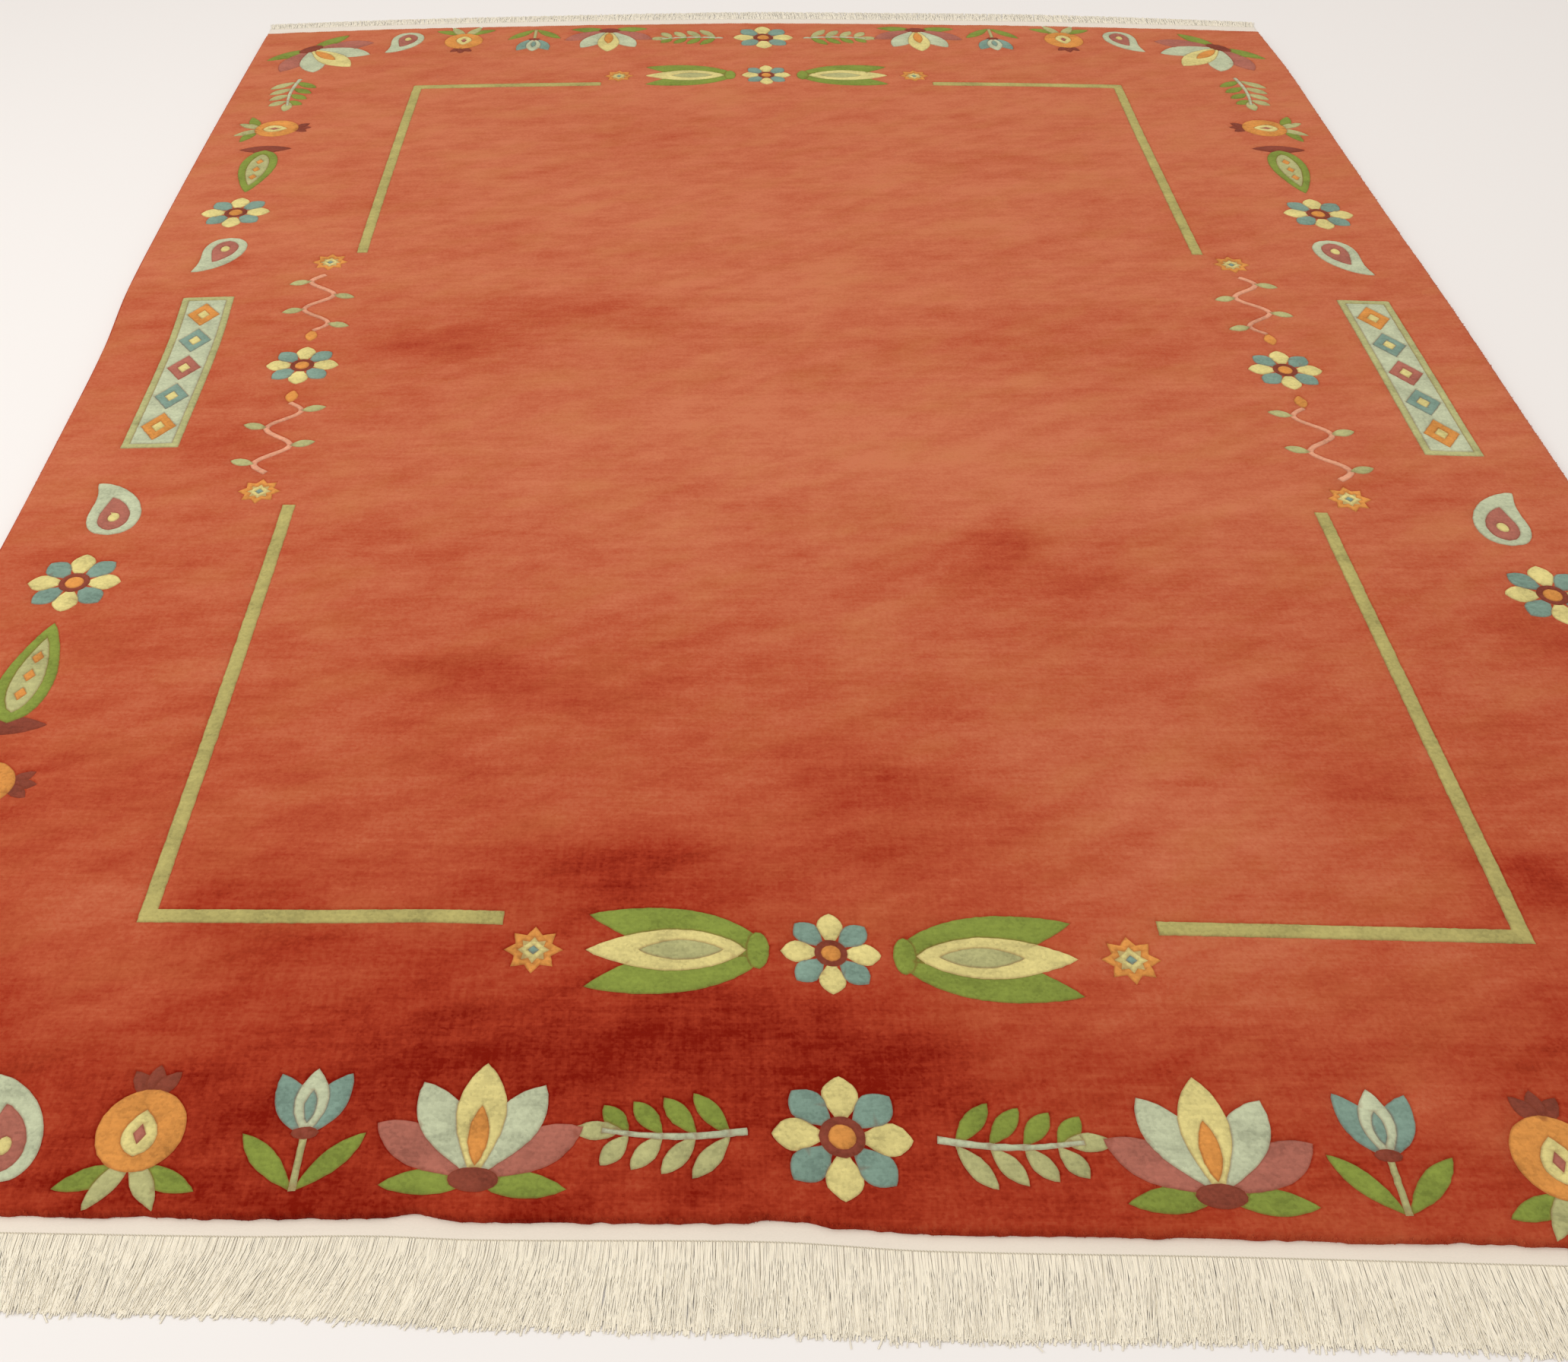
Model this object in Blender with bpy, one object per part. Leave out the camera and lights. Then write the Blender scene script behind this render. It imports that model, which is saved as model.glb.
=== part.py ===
"""A hand-knotted Nepalese wool rug, lying flat, with a woven web and a cotton fringe at each end.

Metres, +Z up. The origin is on the floor under the middle of the whole rug. +Y runs along the rug to its far end,
and X runs across it. The rug is drawn first as a true rectangle, and on_rug() then moves each point to where the
slightly uneven weaving puts it.
"""

import math
import random

import bmesh
import bpy
from mathutils import Vector

# Driving sizes
RUG_WIDTH = 2.500  # over both selvedges
PILE_LENGTH = 3.335
NEAR_END = -1.6550  # the near end of the pile, from the origin
PILE_HEIGHT = 0.0130  # foundation and pile together
SHOULDER_HEIGHT = 0.0090  # where the clipped edge of the pile starts to round over
SHOULDER_WIDTH = 0.0050
PILE_SLOPE = 0.0010  # how far the foot of the clipped edge stands out
FOUNDATION = 0.0028  # warps and wefts without pile
SELVEDGE_HEIGHT = 0.0055  # wool overcast round the outermost warps
SELVEDGE_WIDTH = 0.0040
NEAR_WEB = 0.0200  # plain-woven cotton beyond the pile
FAR_WEB = 0.0450
HEADING_WIDTH = 0.0080  # where the warps lie side by side before they part
GAP = 0.0004  # left between the cloth and the fringe's heading
CELL = 0.1300  # spacing of the cloth's grid away from its edges and the stripe

# The green stripe, whose edges are clipped as V grooves
STRIPE_INSET_SIDE = 0.4200  # from the rug's side to the stripe's outer edge
STRIPE_INSET_END = 0.3800
STRIPE_WIDTH = 0.0210
BREAK_SIDE = 0.4300  # half of the break in the stripe, on a long side
BREAK_END = 0.3900
CARVING_WIDTH = 0.0060
CARVING_DEPTH = 0.0025
CARVING_FADE = 0.0200

# The fringe's locks
LOCKS = 140  # at each end
LOCK_SECTIONS = [
    # share of the length, share of the slope, width as a share of the pitch, thickness
    (0.45, 0.30, 0.64, 0.0030),
    (1.00, 1.00, 0.52, 0.0018),
]
LOCK_CROWN_SHARE = 0.80  # width of a lock's top, as a share of its foot
UNEVEN_LENGTH = 0.06  # how far one lock's length and slope differ from its neighbours'
UNEVEN_SLOPE = 0.06
SEED = 11

HALF_WIDTH = RUG_WIDTH / 2
HALF_LENGTH = PILE_LENGTH / 2
MIDDLE_Y = NEAR_END + HALF_LENGTH
PILE_EDGE = HALF_WIDTH - SELVEDGE_WIDTH - PILE_SLOPE
CLOSE = 1e-6

# How far the side edges stand out from the true rectangle, from the near end (-1) to the far end (1)
SIDE_DRIFT = [
    # place, left, right
    (-1.00, -0.014, 0.000),
    (-0.60, -0.024, -0.002),
    (-0.32, -0.026, -0.001),
    (-0.12, -0.022, 0.001),
    (0.05, -0.015, 0.005),
    (0.18, 0.001, 0.007),
    (0.34, 0.007, 0.006),
    (0.60, 0.011, 0.007),
    (0.85, 0.011, 0.010),
    (1.00, 0.010, 0.002),
]

# How far the ends stand out, from the left side (-1) to the right side (1)
END_DRIFT = [
    # place, near, far
    (-1.00, -0.010, -0.050),
    (-0.75, -0.010, -0.022),
    (-0.49, -0.008, -0.004),
    (-0.385, -0.010, 0.002),
    (-0.30, -0.007, 0.006),
    (-0.06, -0.008, 0.014),
    (0.06, 0.000, 0.014),
    (0.30, 0.003, 0.007),
    (0.53, 0.008, -0.004),
    (0.80, 0.014, -0.024),
    (1.00, 0.017, -0.037),
]

# Length and sideways slope of the fringe, from the left side (-1) to the right side (1)
FRINGE = [
    # place, near length, near slope, far length, far slope
    (-1.00, 0.070, 0.00, 0.046, -0.16),
    (-0.66, 0.073, 0.05, 0.047, -0.05),
    (-0.46, 0.075, -0.36, 0.045, 0.00),
    (-0.28, 0.074, -0.20, 0.044, 0.05),
    (-0.05, 0.077, 0.00, 0.043, -0.05),
    (0.25, 0.076, -0.10, 0.045, 0.00),
    (0.50, 0.085, 0.02, 0.050, 0.08),
    (0.64, 0.089, 0.18, 0.051, 0.00),
    (0.80, 0.091, 0.22, 0.051, 0.04),
    (1.00, 0.088, 0.10, 0.047, 0.18),
]

# Soft swells where the rug isn't pressed quite flat
SWELLS = [
    # x, y, reach, height
    (-1.02, 0.44, 0.16, 0.0016),
    (-0.48, -1.56, 0.18, 0.0014),
    (0.62, 0.72, 0.42, 0.0010),
    (-0.35, -0.62, 0.46, 0.0009),
    (0.92, -1.06, 0.30, 0.0011),
]


def eased(table, place, column):
    """The value of a table's column at a place between its rows, on a smooth curve through them."""
    row = 1
    while row < len(table) - 1 and table[row][0] < place:
        row += 1
    before, after = table[row - 1], table[row]
    earlier, later = table[max(row - 2, 0)], table[min(row + 1, len(table) - 1)]
    span = after[0] - before[0]
    t = min(max((place - before[0]) / span, 0.0), 1.0)
    slope_in = (after[column] - earlier[column]) / (after[0] - earlier[0]) * span
    slope_out = (later[column] - before[column]) / (later[0] - before[0]) * span
    held = (2 * t**3 - 3 * t**2 + 1) * before[column] + (3 * t**2 - 2 * t**3) * after[column]
    return held + (t**3 - 2 * t**2 + t) * slope_in + (t**3 - t**2) * slope_out


def on_rug(x, y):
    """Where a point of the true rectangle, measured from its middle, lies on the real rug."""
    across, along = x / HALF_WIDTH, y / HALF_LENGTH
    left, right = eased(SIDE_DRIFT, along, 1), eased(SIDE_DRIFT, along, 2)
    near, far = eased(END_DRIFT, across, 1), eased(END_DRIFT, across, 2)
    share = min(max((1 + along) / 2, 0.0), 1.0)
    moved_x = x - left * (1 - across) / 2 + right * (1 + across) / 2
    return moved_x, y - near * (1 - share) + far * share + MIDDLE_Y


def swell(x, y):
    """How far the pile stands over its usual height at a point of the rug."""
    return sum(high * math.exp(-((x - at_x) ** 2 + (y - at_y) ** 2) / reach**2) for at_x, at_y, reach, high in SWELLS)


def side_height(x):
    """Height of the cloth by its distance from the middle line: pile, clipped edge, selvedge."""
    if abs(x) > PILE_EDGE + CLOSE:
        return SELVEDGE_HEIGHT
    return SHOULDER_HEIGHT if abs(x) > PILE_EDGE - CLOSE else PILE_HEIGHT


def end_height(y):
    """Height of the cloth by its distance along: pile, clipped edge, web."""
    if abs(y) > HALF_LENGTH + CLOSE:
        return FOUNDATION
    return SHOULDER_HEIGHT if abs(y) > HALF_LENGTH - CLOSE else PILE_HEIGHT


def carved_depth(x, y):
    """Depth of the groove at a grid point of the true rectangle."""
    for trim in (0.0, STRIPE_WIDTH):
        line_x = HALF_WIDTH - STRIPE_INSET_SIDE - trim
        line_y = HALF_LENGTH - STRIPE_INSET_END - trim
        on_side = abs(abs(x) - line_x) < CLOSE and BREAK_SIDE + CLOSE < abs(y) < line_y + CLOSE
        on_end = abs(abs(y) - line_y) < CLOSE and BREAK_END + CLOSE < abs(x) < line_x + CLOSE
        if on_side or on_end:
            return CARVING_DEPTH
    return 0.0


def cloth_height(x, y):
    """Height of the cloth's top at a grid point of the true rectangle."""
    height = min(side_height(x), end_height(y))
    if height < PILE_HEIGHT:
        return height
    return height + swell(*on_rug(x, y)) - carved_depth(x, y)


def grid_lines(half, inset, break_half, low_edge, high_edge):
    """Places of the grid's lines on both sides of the middle: the stripe's grooves, its break, and the edges."""
    grooves = [break_half, break_half + CARVING_FADE]
    for line in (half - inset, half - inset - STRIPE_WIDTH):
        grooves += [line - CARVING_WIDTH / 2, line, line + CARVING_WIDTH / 2]
    fixed = sorted([*(-place for place in grooves + low_edge), 0.0, *grooves, *high_edge])
    lines = []
    for start, stop in zip(fixed, fixed[1:]):
        steps = max(1, round((stop - start) / CELL))
        lines += [start + (stop - start) * k / steps for k in range(steps)]
    return lines + [fixed[-1]]


def cloth_columns():
    edge = [PILE_EDGE - SHOULDER_WIDTH, PILE_EDGE, PILE_EDGE + PILE_SLOPE, HALF_WIDTH]
    return grid_lines(HALF_WIDTH, STRIPE_INSET_SIDE, BREAK_END, edge, edge)


def cloth_rows():
    edge = [HALF_LENGTH - SHOULDER_WIDTH, HALF_LENGTH, HALF_LENGTH + PILE_SLOPE]
    near, far = [*edge, HALF_LENGTH + NEAR_WEB], [*edge, HALF_LENGTH + FAR_WEB]
    return grid_lines(HALF_LENGTH, STRIPE_INSET_END, BREAK_SIDE, near, far)


def add_grid(shape, columns, rows):
    """A flat grid with a corner at each crossing of the lines, and its corners in reading order."""
    grid = bmesh.ops.create_grid(shape, x_segments=len(columns) - 1, y_segments=len(rows) - 1, size=1.0)
    corners = sorted(grid["verts"], key=lambda corner: (round(corner.co.y, 6), round(corner.co.x, 6)))
    for number, corner in enumerate(corners):
        row, column = divmod(number, len(columns))
        corner.co = Vector((columns[column], rows[row], 0.0))
    return corners


def add_piece(name, shape, color, roughness):
    """Puts a finished shape into the scene as one named piece with its own material."""
    bmesh.ops.recalc_face_normals(shape, faces=shape.faces)
    mesh = bpy.data.meshes.new(name)
    shape.to_mesh(mesh)
    shape.free()
    material = bpy.data.materials.new(name)
    material.use_nodes = True
    shader = material.node_tree.nodes["Principled BSDF"]
    shader.inputs["Base Color"].default_value = (*color, 1.0)
    shader.inputs["Roughness"].default_value = roughness
    shader.inputs["Metallic"].default_value = 0.0
    mesh.materials.append(material)
    bpy.context.scene.collection.objects.link(bpy.data.objects.new(name, mesh))


def woven_cloth():
    """Pile, selvedges and webs, woven in one: the top is a shaped grid, and its rim is drawn down to a flat underside."""
    shape = bmesh.new()
    for corner in add_grid(shape, cloth_columns(), cloth_rows()):
        x, y = corner.co.xy
        corner.co = Vector((*on_rug(x, y), cloth_height(x, y)))
    rim = [edge for edge in shape.edges if edge.is_boundary]
    drawn = bmesh.ops.extrude_edge_only(shape, edges=rim)["geom"]
    for part in drawn:
        if isinstance(part, bmesh.types.BMVert):
            part.co.z = 0.0
    foot = [part for part in drawn if isinstance(part, bmesh.types.BMEdge) and part.is_boundary]
    bmesh.ops.contextual_create(shape, geom=foot)
    add_piece("woven_cloth", shape, (0.52, 0.115, 0.055), 0.95)


def end_line(end, reach):
    """Points across the rug, a distance beyond the pile. end is -1 for the near end and 1 for the far end."""
    line = [Vector(on_rug(x, end * HALF_LENGTH)) for x in cloth_columns()]
    return [point + Vector((0.0, end * reach)) for point in line]


def point_along(line, x):
    """The point of a line across the rug at a given x."""
    step = next((k for k in range(1, len(line) - 1) if line[k].x > x), len(line) - 1)
    start, stop = line[step - 1], line[step]
    return start.lerp(stop, (x - start.x) / (stop.x - start.x))


def heading(shape, end, web):
    """The strip where the warps lie side by side, and its outer faces, one for each lock, from left to right."""
    inner_line, outer_line = end_line(end, web + GAP), end_line(end, web + GAP + HEADING_WIDTH)
    start, stop = inner_line[0].x, inner_line[-1].x
    places = [start + (stop - start) * k / LOCKS for k in range(LOCKS + 1)]
    for corner in add_grid(shape, places, [0.0, 1.0]):
        line = outer_line if corner.co.y > CLOSE else inner_line
        corner.co = point_along(line, corner.co.x).to_3d()
    raised = bmesh.ops.extrude_face_region(shape, geom=shape.faces[:], use_keep_orig=True)["geom"]
    for part in raised:
        if isinstance(part, bmesh.types.BMVert):
            part.co.z = FOUNDATION
    bmesh.ops.recalc_face_normals(shape, faces=shape.faces)
    facing = [face for face in shape.faces if face.normal.y * end > 0.5]
    return sorted(facing, key=lambda face: face.calc_center_median().x)


def fringe(name, end, web):
    """The heading with its locks, all one solid. Each lock is drawn out of its own face of the heading."""
    shape = bmesh.new()
    faces = heading(shape, end, web)
    pitch = faces[1].calc_center_median().x - faces[0].calc_center_median().x
    spread = random.Random(SEED + end)
    length_column, slope_column = (1, 2) if end < 0 else (3, 4)
    for number, face in enumerate(faces):
        place = 2 * (number + 0.5) / LOCKS - 1
        length = eased(FRINGE, place, length_column) * (1 + spread.uniform(-UNEVEN_LENGTH, UNEVEN_LENGTH))
        slope = eased(FRINGE, place, slope_column) + spread.uniform(-UNEVEN_SLOPE, UNEVEN_SLOPE)
        root = face.calc_center_median()
        for reach, bend, share, thick in LOCK_SECTIONS:
            face = bmesh.ops.extrude_discrete_faces(shape, faces=[face])["faces"][0]
            centre = face.calc_center_median()
            middle = root + Vector((slope * length * bend, end * length * reach, 0.0))
            for corner in face.verts:
                raised = corner.co.z > CLOSE
                half = pitch * share / 2 * (LOCK_CROWN_SHARE if raised else 1.0)
                side = -1 if corner.co.x < centre.x else 1
                corner.co = Vector((middle.x + side * half, middle.y, thick if raised else 0.0))
    add_piece(name, shape, (0.80, 0.72, 0.57), 0.90)


def build():
    for leftover in list(bpy.data.objects):
        bpy.data.objects.remove(leftover)
    woven_cloth()
    fringe("fringe_near", -1, NEAR_WEB)
    fringe("fringe_far", 1, FAR_WEB)


build()
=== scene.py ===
"""Looks of a hand-knotted Nepalese wool rug, with its carved pile, selvedges, webs and fringes.

Metres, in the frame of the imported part: +Y runs along the rug to its far end, +Z up. Like the part, the
rug is drawn as a true rectangle, and on_rug() moves each point to where the uneven weaving puts it.
"""

import math

import bmesh
import bpy
import numpy as np
from bpy.props import FloatProperty, FloatVectorProperty, IntProperty, PointerProperty
from mathutils import Matrix, Vector, noise
from mathutils.geometry import delaunay_2d_cdt
from mathutils.kdtree import KDTree


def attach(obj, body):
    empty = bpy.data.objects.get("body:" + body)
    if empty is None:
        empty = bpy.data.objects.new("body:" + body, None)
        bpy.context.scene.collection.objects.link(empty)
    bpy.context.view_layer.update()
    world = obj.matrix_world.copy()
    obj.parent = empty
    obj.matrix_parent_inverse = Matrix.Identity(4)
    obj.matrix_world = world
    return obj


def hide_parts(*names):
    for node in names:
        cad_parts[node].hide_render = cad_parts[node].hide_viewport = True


bl_info = {
    "name": "Nepalese rug",
    "version": (1, 0, 0),
    "blender": (4, 5, 0),
    "location": "3D view > Sidebar > Rug",
    "description": "Builds the pile, selvedges, webs and fringes of a hand-knotted rug",
    "category": "Object",
}

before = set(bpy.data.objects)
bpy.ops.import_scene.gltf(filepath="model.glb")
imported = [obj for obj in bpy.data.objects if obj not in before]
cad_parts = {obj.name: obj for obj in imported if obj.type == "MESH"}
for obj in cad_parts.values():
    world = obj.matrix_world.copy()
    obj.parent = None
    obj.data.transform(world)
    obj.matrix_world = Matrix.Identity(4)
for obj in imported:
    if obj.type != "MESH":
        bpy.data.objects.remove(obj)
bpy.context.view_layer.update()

# Sizes of the rug, as in the part
RUG_WIDTH = 2.500
PILE_LENGTH = 3.335
NEAR_END = -1.6550
PILE_HEIGHT = 0.0130
SHOULDER_HEIGHT = 0.0090
SHOULDER_WIDTH = 0.0050
PILE_SLOPE = 0.0010
FOUNDATION = 0.0028
SELVEDGE_HEIGHT = 0.0055
SELVEDGE_WIDTH = 0.0040
NEAR_WEB = 0.0200
FAR_WEB = 0.0550  # 10 mm more than in the part, as far as the photograph shows it past the pile
HEADING_WIDTH = 0.0080
STRIPE_INSET_SIDE = 0.4200
STRIPE_INSET_END = 0.3800
STRIPE_WIDTH = 0.0210
BREAK_SIDE = 0.4300
BREAK_END = 0.3900

HALF_WIDTH = RUG_WIDTH / 2
HALF_LENGTH = PILE_LENGTH / 2
MIDDLE_Y = NEAR_END + HALF_LENGTH
PILE_EDGE = HALF_WIDTH - SELVEDGE_WIDTH - PILE_SLOPE
ENDS = (("near", -1, NEAR_WEB), ("far", 1, FAR_WEB))
SEED = 11

# The pile's wool, its carved lines and its clipped edge
FIBRE_GRAIN = 0.0011  # clumps of wool fibres, in the fuzz of the cut pile
FIBRE_PUSH = 0.0022  # how far the fibres push a knot's outline about
BRUSHED_TURN = 24.0  # degrees, the way in which most brush marks run
KNOT_STEP = 0.0009  # how far a carved line steps aside to keep to whole knots
KNOT_STEP_GRAIN = 0.007
CORNER_BEND = 32  # degrees, past which an outline's point is a corner
RIPPLE_FADE = 0.020  # how far in from the edge its unevenness is felt
DENT_FADE = 0.030  # how far in from the edge a dent is felt
RIM_STEP = 0.006
RIM_INSETS = (0.0, 0.0015, 0.0032, 0.0060)
TUFT_LEVELS = (0.0040, 0.0065, 0.0088)
TUFT_RADIUS = 0.0011
TUFT_ROOT = 0.0006  # how deep a wisp is rooted in the edge

# The webs, the cords on their edges and the selvedges
HEADING_THICK = 0.0012
WEB_TUCK = 0.0120  # how far the web's strip runs in under the pile, past its dents
WEFT_PITCH = 0.0011
STRIP_COLUMNS = 850
STRIP_EDGE = 0.62  # how thick a strip's edges are, as a share of the strip
WEB_RIB = 0.00016
HEADING_RIB = 0.00005
STITCHES = 780
STITCH_LENGTH = 0.0034
STITCH_SLANT = math.radians(24)
WRAP_PITCH = 0.0028
STEPS_PER_WRAP = 3
CORD_SIDES = 7
# How dark the selvedge's wool is painted: painted shade of the rim beside the pile's clipped edge
SELVEDGE_SHADE = 0.62

# How unevenly the fringe's yarns lie
ROOT_SCATTER = 0.0010
LENGTH_SCATTER = 0.045  # share of the yarn's length
CLUMP_WIDTH = 0.022  # share of half the rug's width
CLUMP_SLOPE = 0.07
SLOPE_SCATTER = 0.075
STRAY_SHARE = 0.008
STRAY_SLOPE = 0.22
STRAY_LENGTH = (1.02, 1.12)
STRAY_CURL = 3.0
LAYER_THICK = 0.0006
YARN_WAVES = (3.0, 9.0)  # radians over the yarn's length
YARN_CURL = (0.0003, 0.0022)
YARN_LIFT = 0.6  # the most that a yarn rises, as a share of its layer's level

# How far the side edges stand out from the true rectangle, from the near end (-1) to the far end (1)
SIDE_DRIFT = [
    # place, left, right
    (-1.00, -0.014, 0.000),
    (-0.60, -0.024, -0.002),
    (-0.32, -0.026, -0.001),
    (-0.12, -0.022, 0.001),
    (0.05, -0.015, 0.005),
    (0.18, 0.001, 0.007),
    (0.34, 0.007, 0.006),
    (0.60, 0.011, 0.007),
    (0.85, 0.011, 0.010),
    (1.00, 0.010, 0.002),
]

# How far the ends stand out, from the left side (-1) to the right side (1)
END_DRIFT = [
    # place, near, far
    (-1.00, -0.010, -0.050),
    (-0.75, -0.010, -0.018),
    (-0.49, -0.008, 0.004),
    (-0.385, -0.010, 0.011),
    (-0.30, -0.007, 0.016),
    (-0.06, -0.008, 0.026),
    (0.06, 0.000, 0.027),
    (0.30, 0.003, 0.021),
    (0.53, 0.008, 0.012),
    (0.80, 0.014, -0.008),
    (1.00, 0.017, -0.028),
]

# Length beyond its heading and sideways slope of the fringe, from the left side (-1) to the right side (1)
FRINGE = [
    # place, near length, near slope, far length, far slope
    (-1.00, 0.068, 0.00, 0.030, -0.16),
    (-0.66, 0.071, 0.05, 0.034, -0.05),
    (-0.46, 0.072, -0.36, 0.036, 0.00),
    (-0.28, 0.080, -0.20, 0.040, 0.05),
    (-0.05, 0.083, 0.00, 0.045, -0.05),
    (0.25, 0.077, -0.10, 0.045, 0.00),
    (0.50, 0.080, 0.02, 0.046, 0.08),
    (0.64, 0.085, 0.18, 0.045, 0.00),
    (0.80, 0.087, 0.22, 0.039, 0.04),
    (1.00, 0.084, 0.10, 0.031, 0.18),
]

# Soft swells where the rug isn't pressed quite flat
SWELLS = [
    # x, y, reach, height
    (-1.02, 0.44, 0.16, 0.0016),
    (-0.48, -1.56, 0.18, 0.0014),
    (0.62, 0.72, 0.42, 0.0010),
    (-0.35, -0.62, 0.46, 0.0009),
    (0.92, -1.06, 0.30, 0.0011),
]

# Where the near edge of the pile draws back a little
EDGE_DENTS = [
    # x, reach, depth
    (-0.440, 0.032, 0.0050),
    (-0.065, 0.030, 0.0055),
    (0.620, 0.040, 0.0030),
]

# How dark the field is painted along the rug: painted shade from the lie of the pile, and some dye
SHADE_ALONG = [
    # y, darkness
    (-1.66, 0.78),
    (-1.47, 0.74),
    (-1.38, 0.68),
    (-1.19, 0.52),
    (-1.06, 0.42),
    (-0.84, 0.31),
    (-0.58, 0.27),
    (-0.28, 0.17),
    (0.10, 0.24),
    (0.54, 0.13),
    (1.12, 0.12),
    (1.68, 0.14),
]

# Painted shade and light of pile brushed the other way, and yarn that took more or less dye
SHADE_PATCHES = [
    # x, y, reach across, reach along, darkness
    (0.32, -0.50, 0.055, 0.060, 0.26),
    (-0.48, -0.82, 0.120, 0.045, 0.34),
    (-0.30, -0.86, 0.160, 0.060, 0.14),
    (0.08, -1.04, 0.110, 0.050, 0.30),
    (-0.08, -1.08, 0.120, 0.040, -0.04),
    (-0.24, -1.18, 0.110, 0.055, 0.30),
    (0.10, -1.14, 0.070, 0.035, 0.16),
    (-0.16, -1.40, 0.200, 0.080, 0.30),
    (-0.60, -1.47, 0.240, 0.080, 0.12),
    (-0.78, -1.40, 0.150, 0.080, -0.14),
    (0.02, -1.49, 0.110, 0.060, 0.22),
    (0.46, -1.31, 0.330, 0.200, -0.30),
    (0.33, -0.98, 0.160, 0.090, -0.12),
    (0.50, -1.12, 0.150, 0.080, -0.08),
    (-0.04, 0.24, 0.240, 0.100, -0.09),
    (0.66, -1.52, 0.110, 0.060, -0.26),
    (-0.70, -1.24, 0.110, 0.070, 0.20),
    (-0.85, -1.30, 0.130, 0.140, -0.16),
    (0.86, -1.19, 0.060, 0.060, 0.30),
    (0.55, -1.66, 0.260, 0.050, -0.22),
    (0.95, -1.58, 0.180, 0.070, 0.10),
    (-0.62, -1.64, 0.200, 0.060, 0.12),
    (-1.00, -0.60, 0.350, 0.900, 0.09),
    (-0.86, -1.24, 0.180, 0.080, -0.16),
    (0.76, -1.05, 0.080, 0.050, 0.16),
    (-0.92, -0.26, 0.140, 0.070, 0.26),
    (-0.62, 0.08, 0.150, 0.070, 0.30),
    (-0.38, 0.20, 0.200, 0.060, 0.16),
    (-1.08, 0.40, 0.060, 0.030, 0.26),
    (-0.80, 0.66, 0.140, 0.050, 0.14),
    (1.06, -0.70, 0.090, 0.110, 0.20),
    (0.94, -0.36, 0.100, 0.080, 0.14),
    (0.86, 0.56, 0.160, 0.120, 0.16),
    (0.30, -0.60, 0.160, 0.060, 0.12),
    (-0.05, -0.20, 0.330, 0.200, -0.10),
    (0.30, -0.30, 0.240, 0.120, -0.08),
    (-0.20, 1.00, 0.340, 0.120, 0.10),
    (0.45, 0.86, 0.200, 0.080, 0.08),
]

# The camera of the photograph: its picture is cropped, so the lens's axis isn't in the picture's middle
PICTURE_WIDTH = 2063
AXIS_PIXEL = 900
FOCAL_PIXELS = 2130
SENSOR_WIDTH = 36.0
CAMERA_PLACE = (-0.1401, -2.5082, 1.4991)
CAMERA_DOWN = math.radians(41.55)
CAMERA_TURN = math.radians(-0.963)
CAMERA_ROLL = math.radians(-0.296)

# The pieces that are woven, wrapped or knotted onto the pile's own cloth
ON_THE_CLOTH = ["edge_tufts", "selvedge_left", "selvedge_right", "strands_near_under", "strands_near_upper"]
ON_THE_CLOTH += ["strands_far", "web_near", "web_far", "twining_near", "twining_far"]
ON_THE_CLOTH += ["heading_near", "heading_far"]

# The field's drifts of tone: dye bands along the weft, rows of knots, painted shade of brush marks, small
# clouds
FIELD_TONES = [
    # depth, size across, size along, detail, roughness, turn
    (0.10, 0.260, 0.012, 3.0, 0.55, 0.0),
    (0.10, 0.030, 0.0035, 2.0, 0.55, 0.0),
    (0.20, 0.150, 0.042, 5.0, 0.58, BRUSHED_TURN),
    (0.13, 0.055, 0.040, 5.0, 0.62, 0.0),
]

# The layers of the fringe's yarns
FRINGE_LAYERS = [
    # name, end, web, number of yarns, level, thickness in warp yarns
    ("near_under", -1, NEAR_WEB, "near_strands", 0.0006, 1.7),
    ("near_upper", -1, NEAR_WEB, "near_strands", 0.0016, 1.15),
    ("far", 1, FAR_WEB, "far_strands", 0.0016, 1.5),
]

# The soft lights over the plain floor
FLOOR_SIZE = (28.0, 28.0)
SKY_STRENGTH = 0.72
LAMPS = [
    # name, place, width, power
    ("window_light", (-3.5, -1.6, 3.0), 2.5, 52.0),
    ("ceiling_light", (0.3, 0.5, 4.2), 5.0, 45.0),
]

# The run of a fringe yarn from its root to its tip: straight through the heading, then it leans, waves,
# lifts and sinks to the floor. share is how far along the yarn a point is.
YARN_RUN = [
    # value, operation, terms
    ("held", "DIVIDE", "Heading", "length"),
    ("loose", "SUBTRACT", 1.0, "held"),
    ("past", "SUBTRACT", "share", "held"),
    ("part", "DIVIDE", "past", "loose"),
    ("free", "MAXIMUM", "part", 0.0),
    ("bend", "POWER", "free", 1.25),
    ("lean", "MULTIPLY", "slope", "length"),
    ("angle", "MULTIPLY_ADD", "free", "waves", "phase"),
    ("swing", "SINE", "angle"),
    ("sway", "MULTIPLY", "swing", "free"),
    ("wobble", "MULTIPLY", "sway", "curl"),
    ("across", "MULTIPLY_ADD", "lean", "bend", "wobble"),
    ("reach", "MULTIPLY", "share", "length"),
    ("signed", "MULTIPLY", "reach", "Direction"),
    ("along", "SUBTRACT", "signed", "share"),
    ("turn", "MULTIPLY", "free", math.pi * 0.72),
    ("arch", "SINE", "turn"),
    ("raised", "MULTIPLY", "arch", "lift"),
    ("sunk", "MULTIPLY", "free", "drop"),
    ("height", "SUBTRACT", "raised", "sunk"),
]


def linear(code):
    """The linear colour of an sRGB hex code."""
    shares = [int(code[place : place + 2], 16) / 255 for place in (1, 3, 5)]
    return tuple(share / 12.92 if share <= 0.04045 else ((share + 0.055) / 1.055) ** 2.4 for share in shares)


def colour(name, code):
    """A colour that a user may change."""
    text = f"Dye of the {name.lower()}"
    return FloatVectorProperty(name=name, description=text, subtype="COLOR", default=linear(code))


def size(name, text, metres):
    """A length that a user may change."""
    return FloatProperty(name=name, description=text, default=metres, unit="LENGTH")


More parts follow.
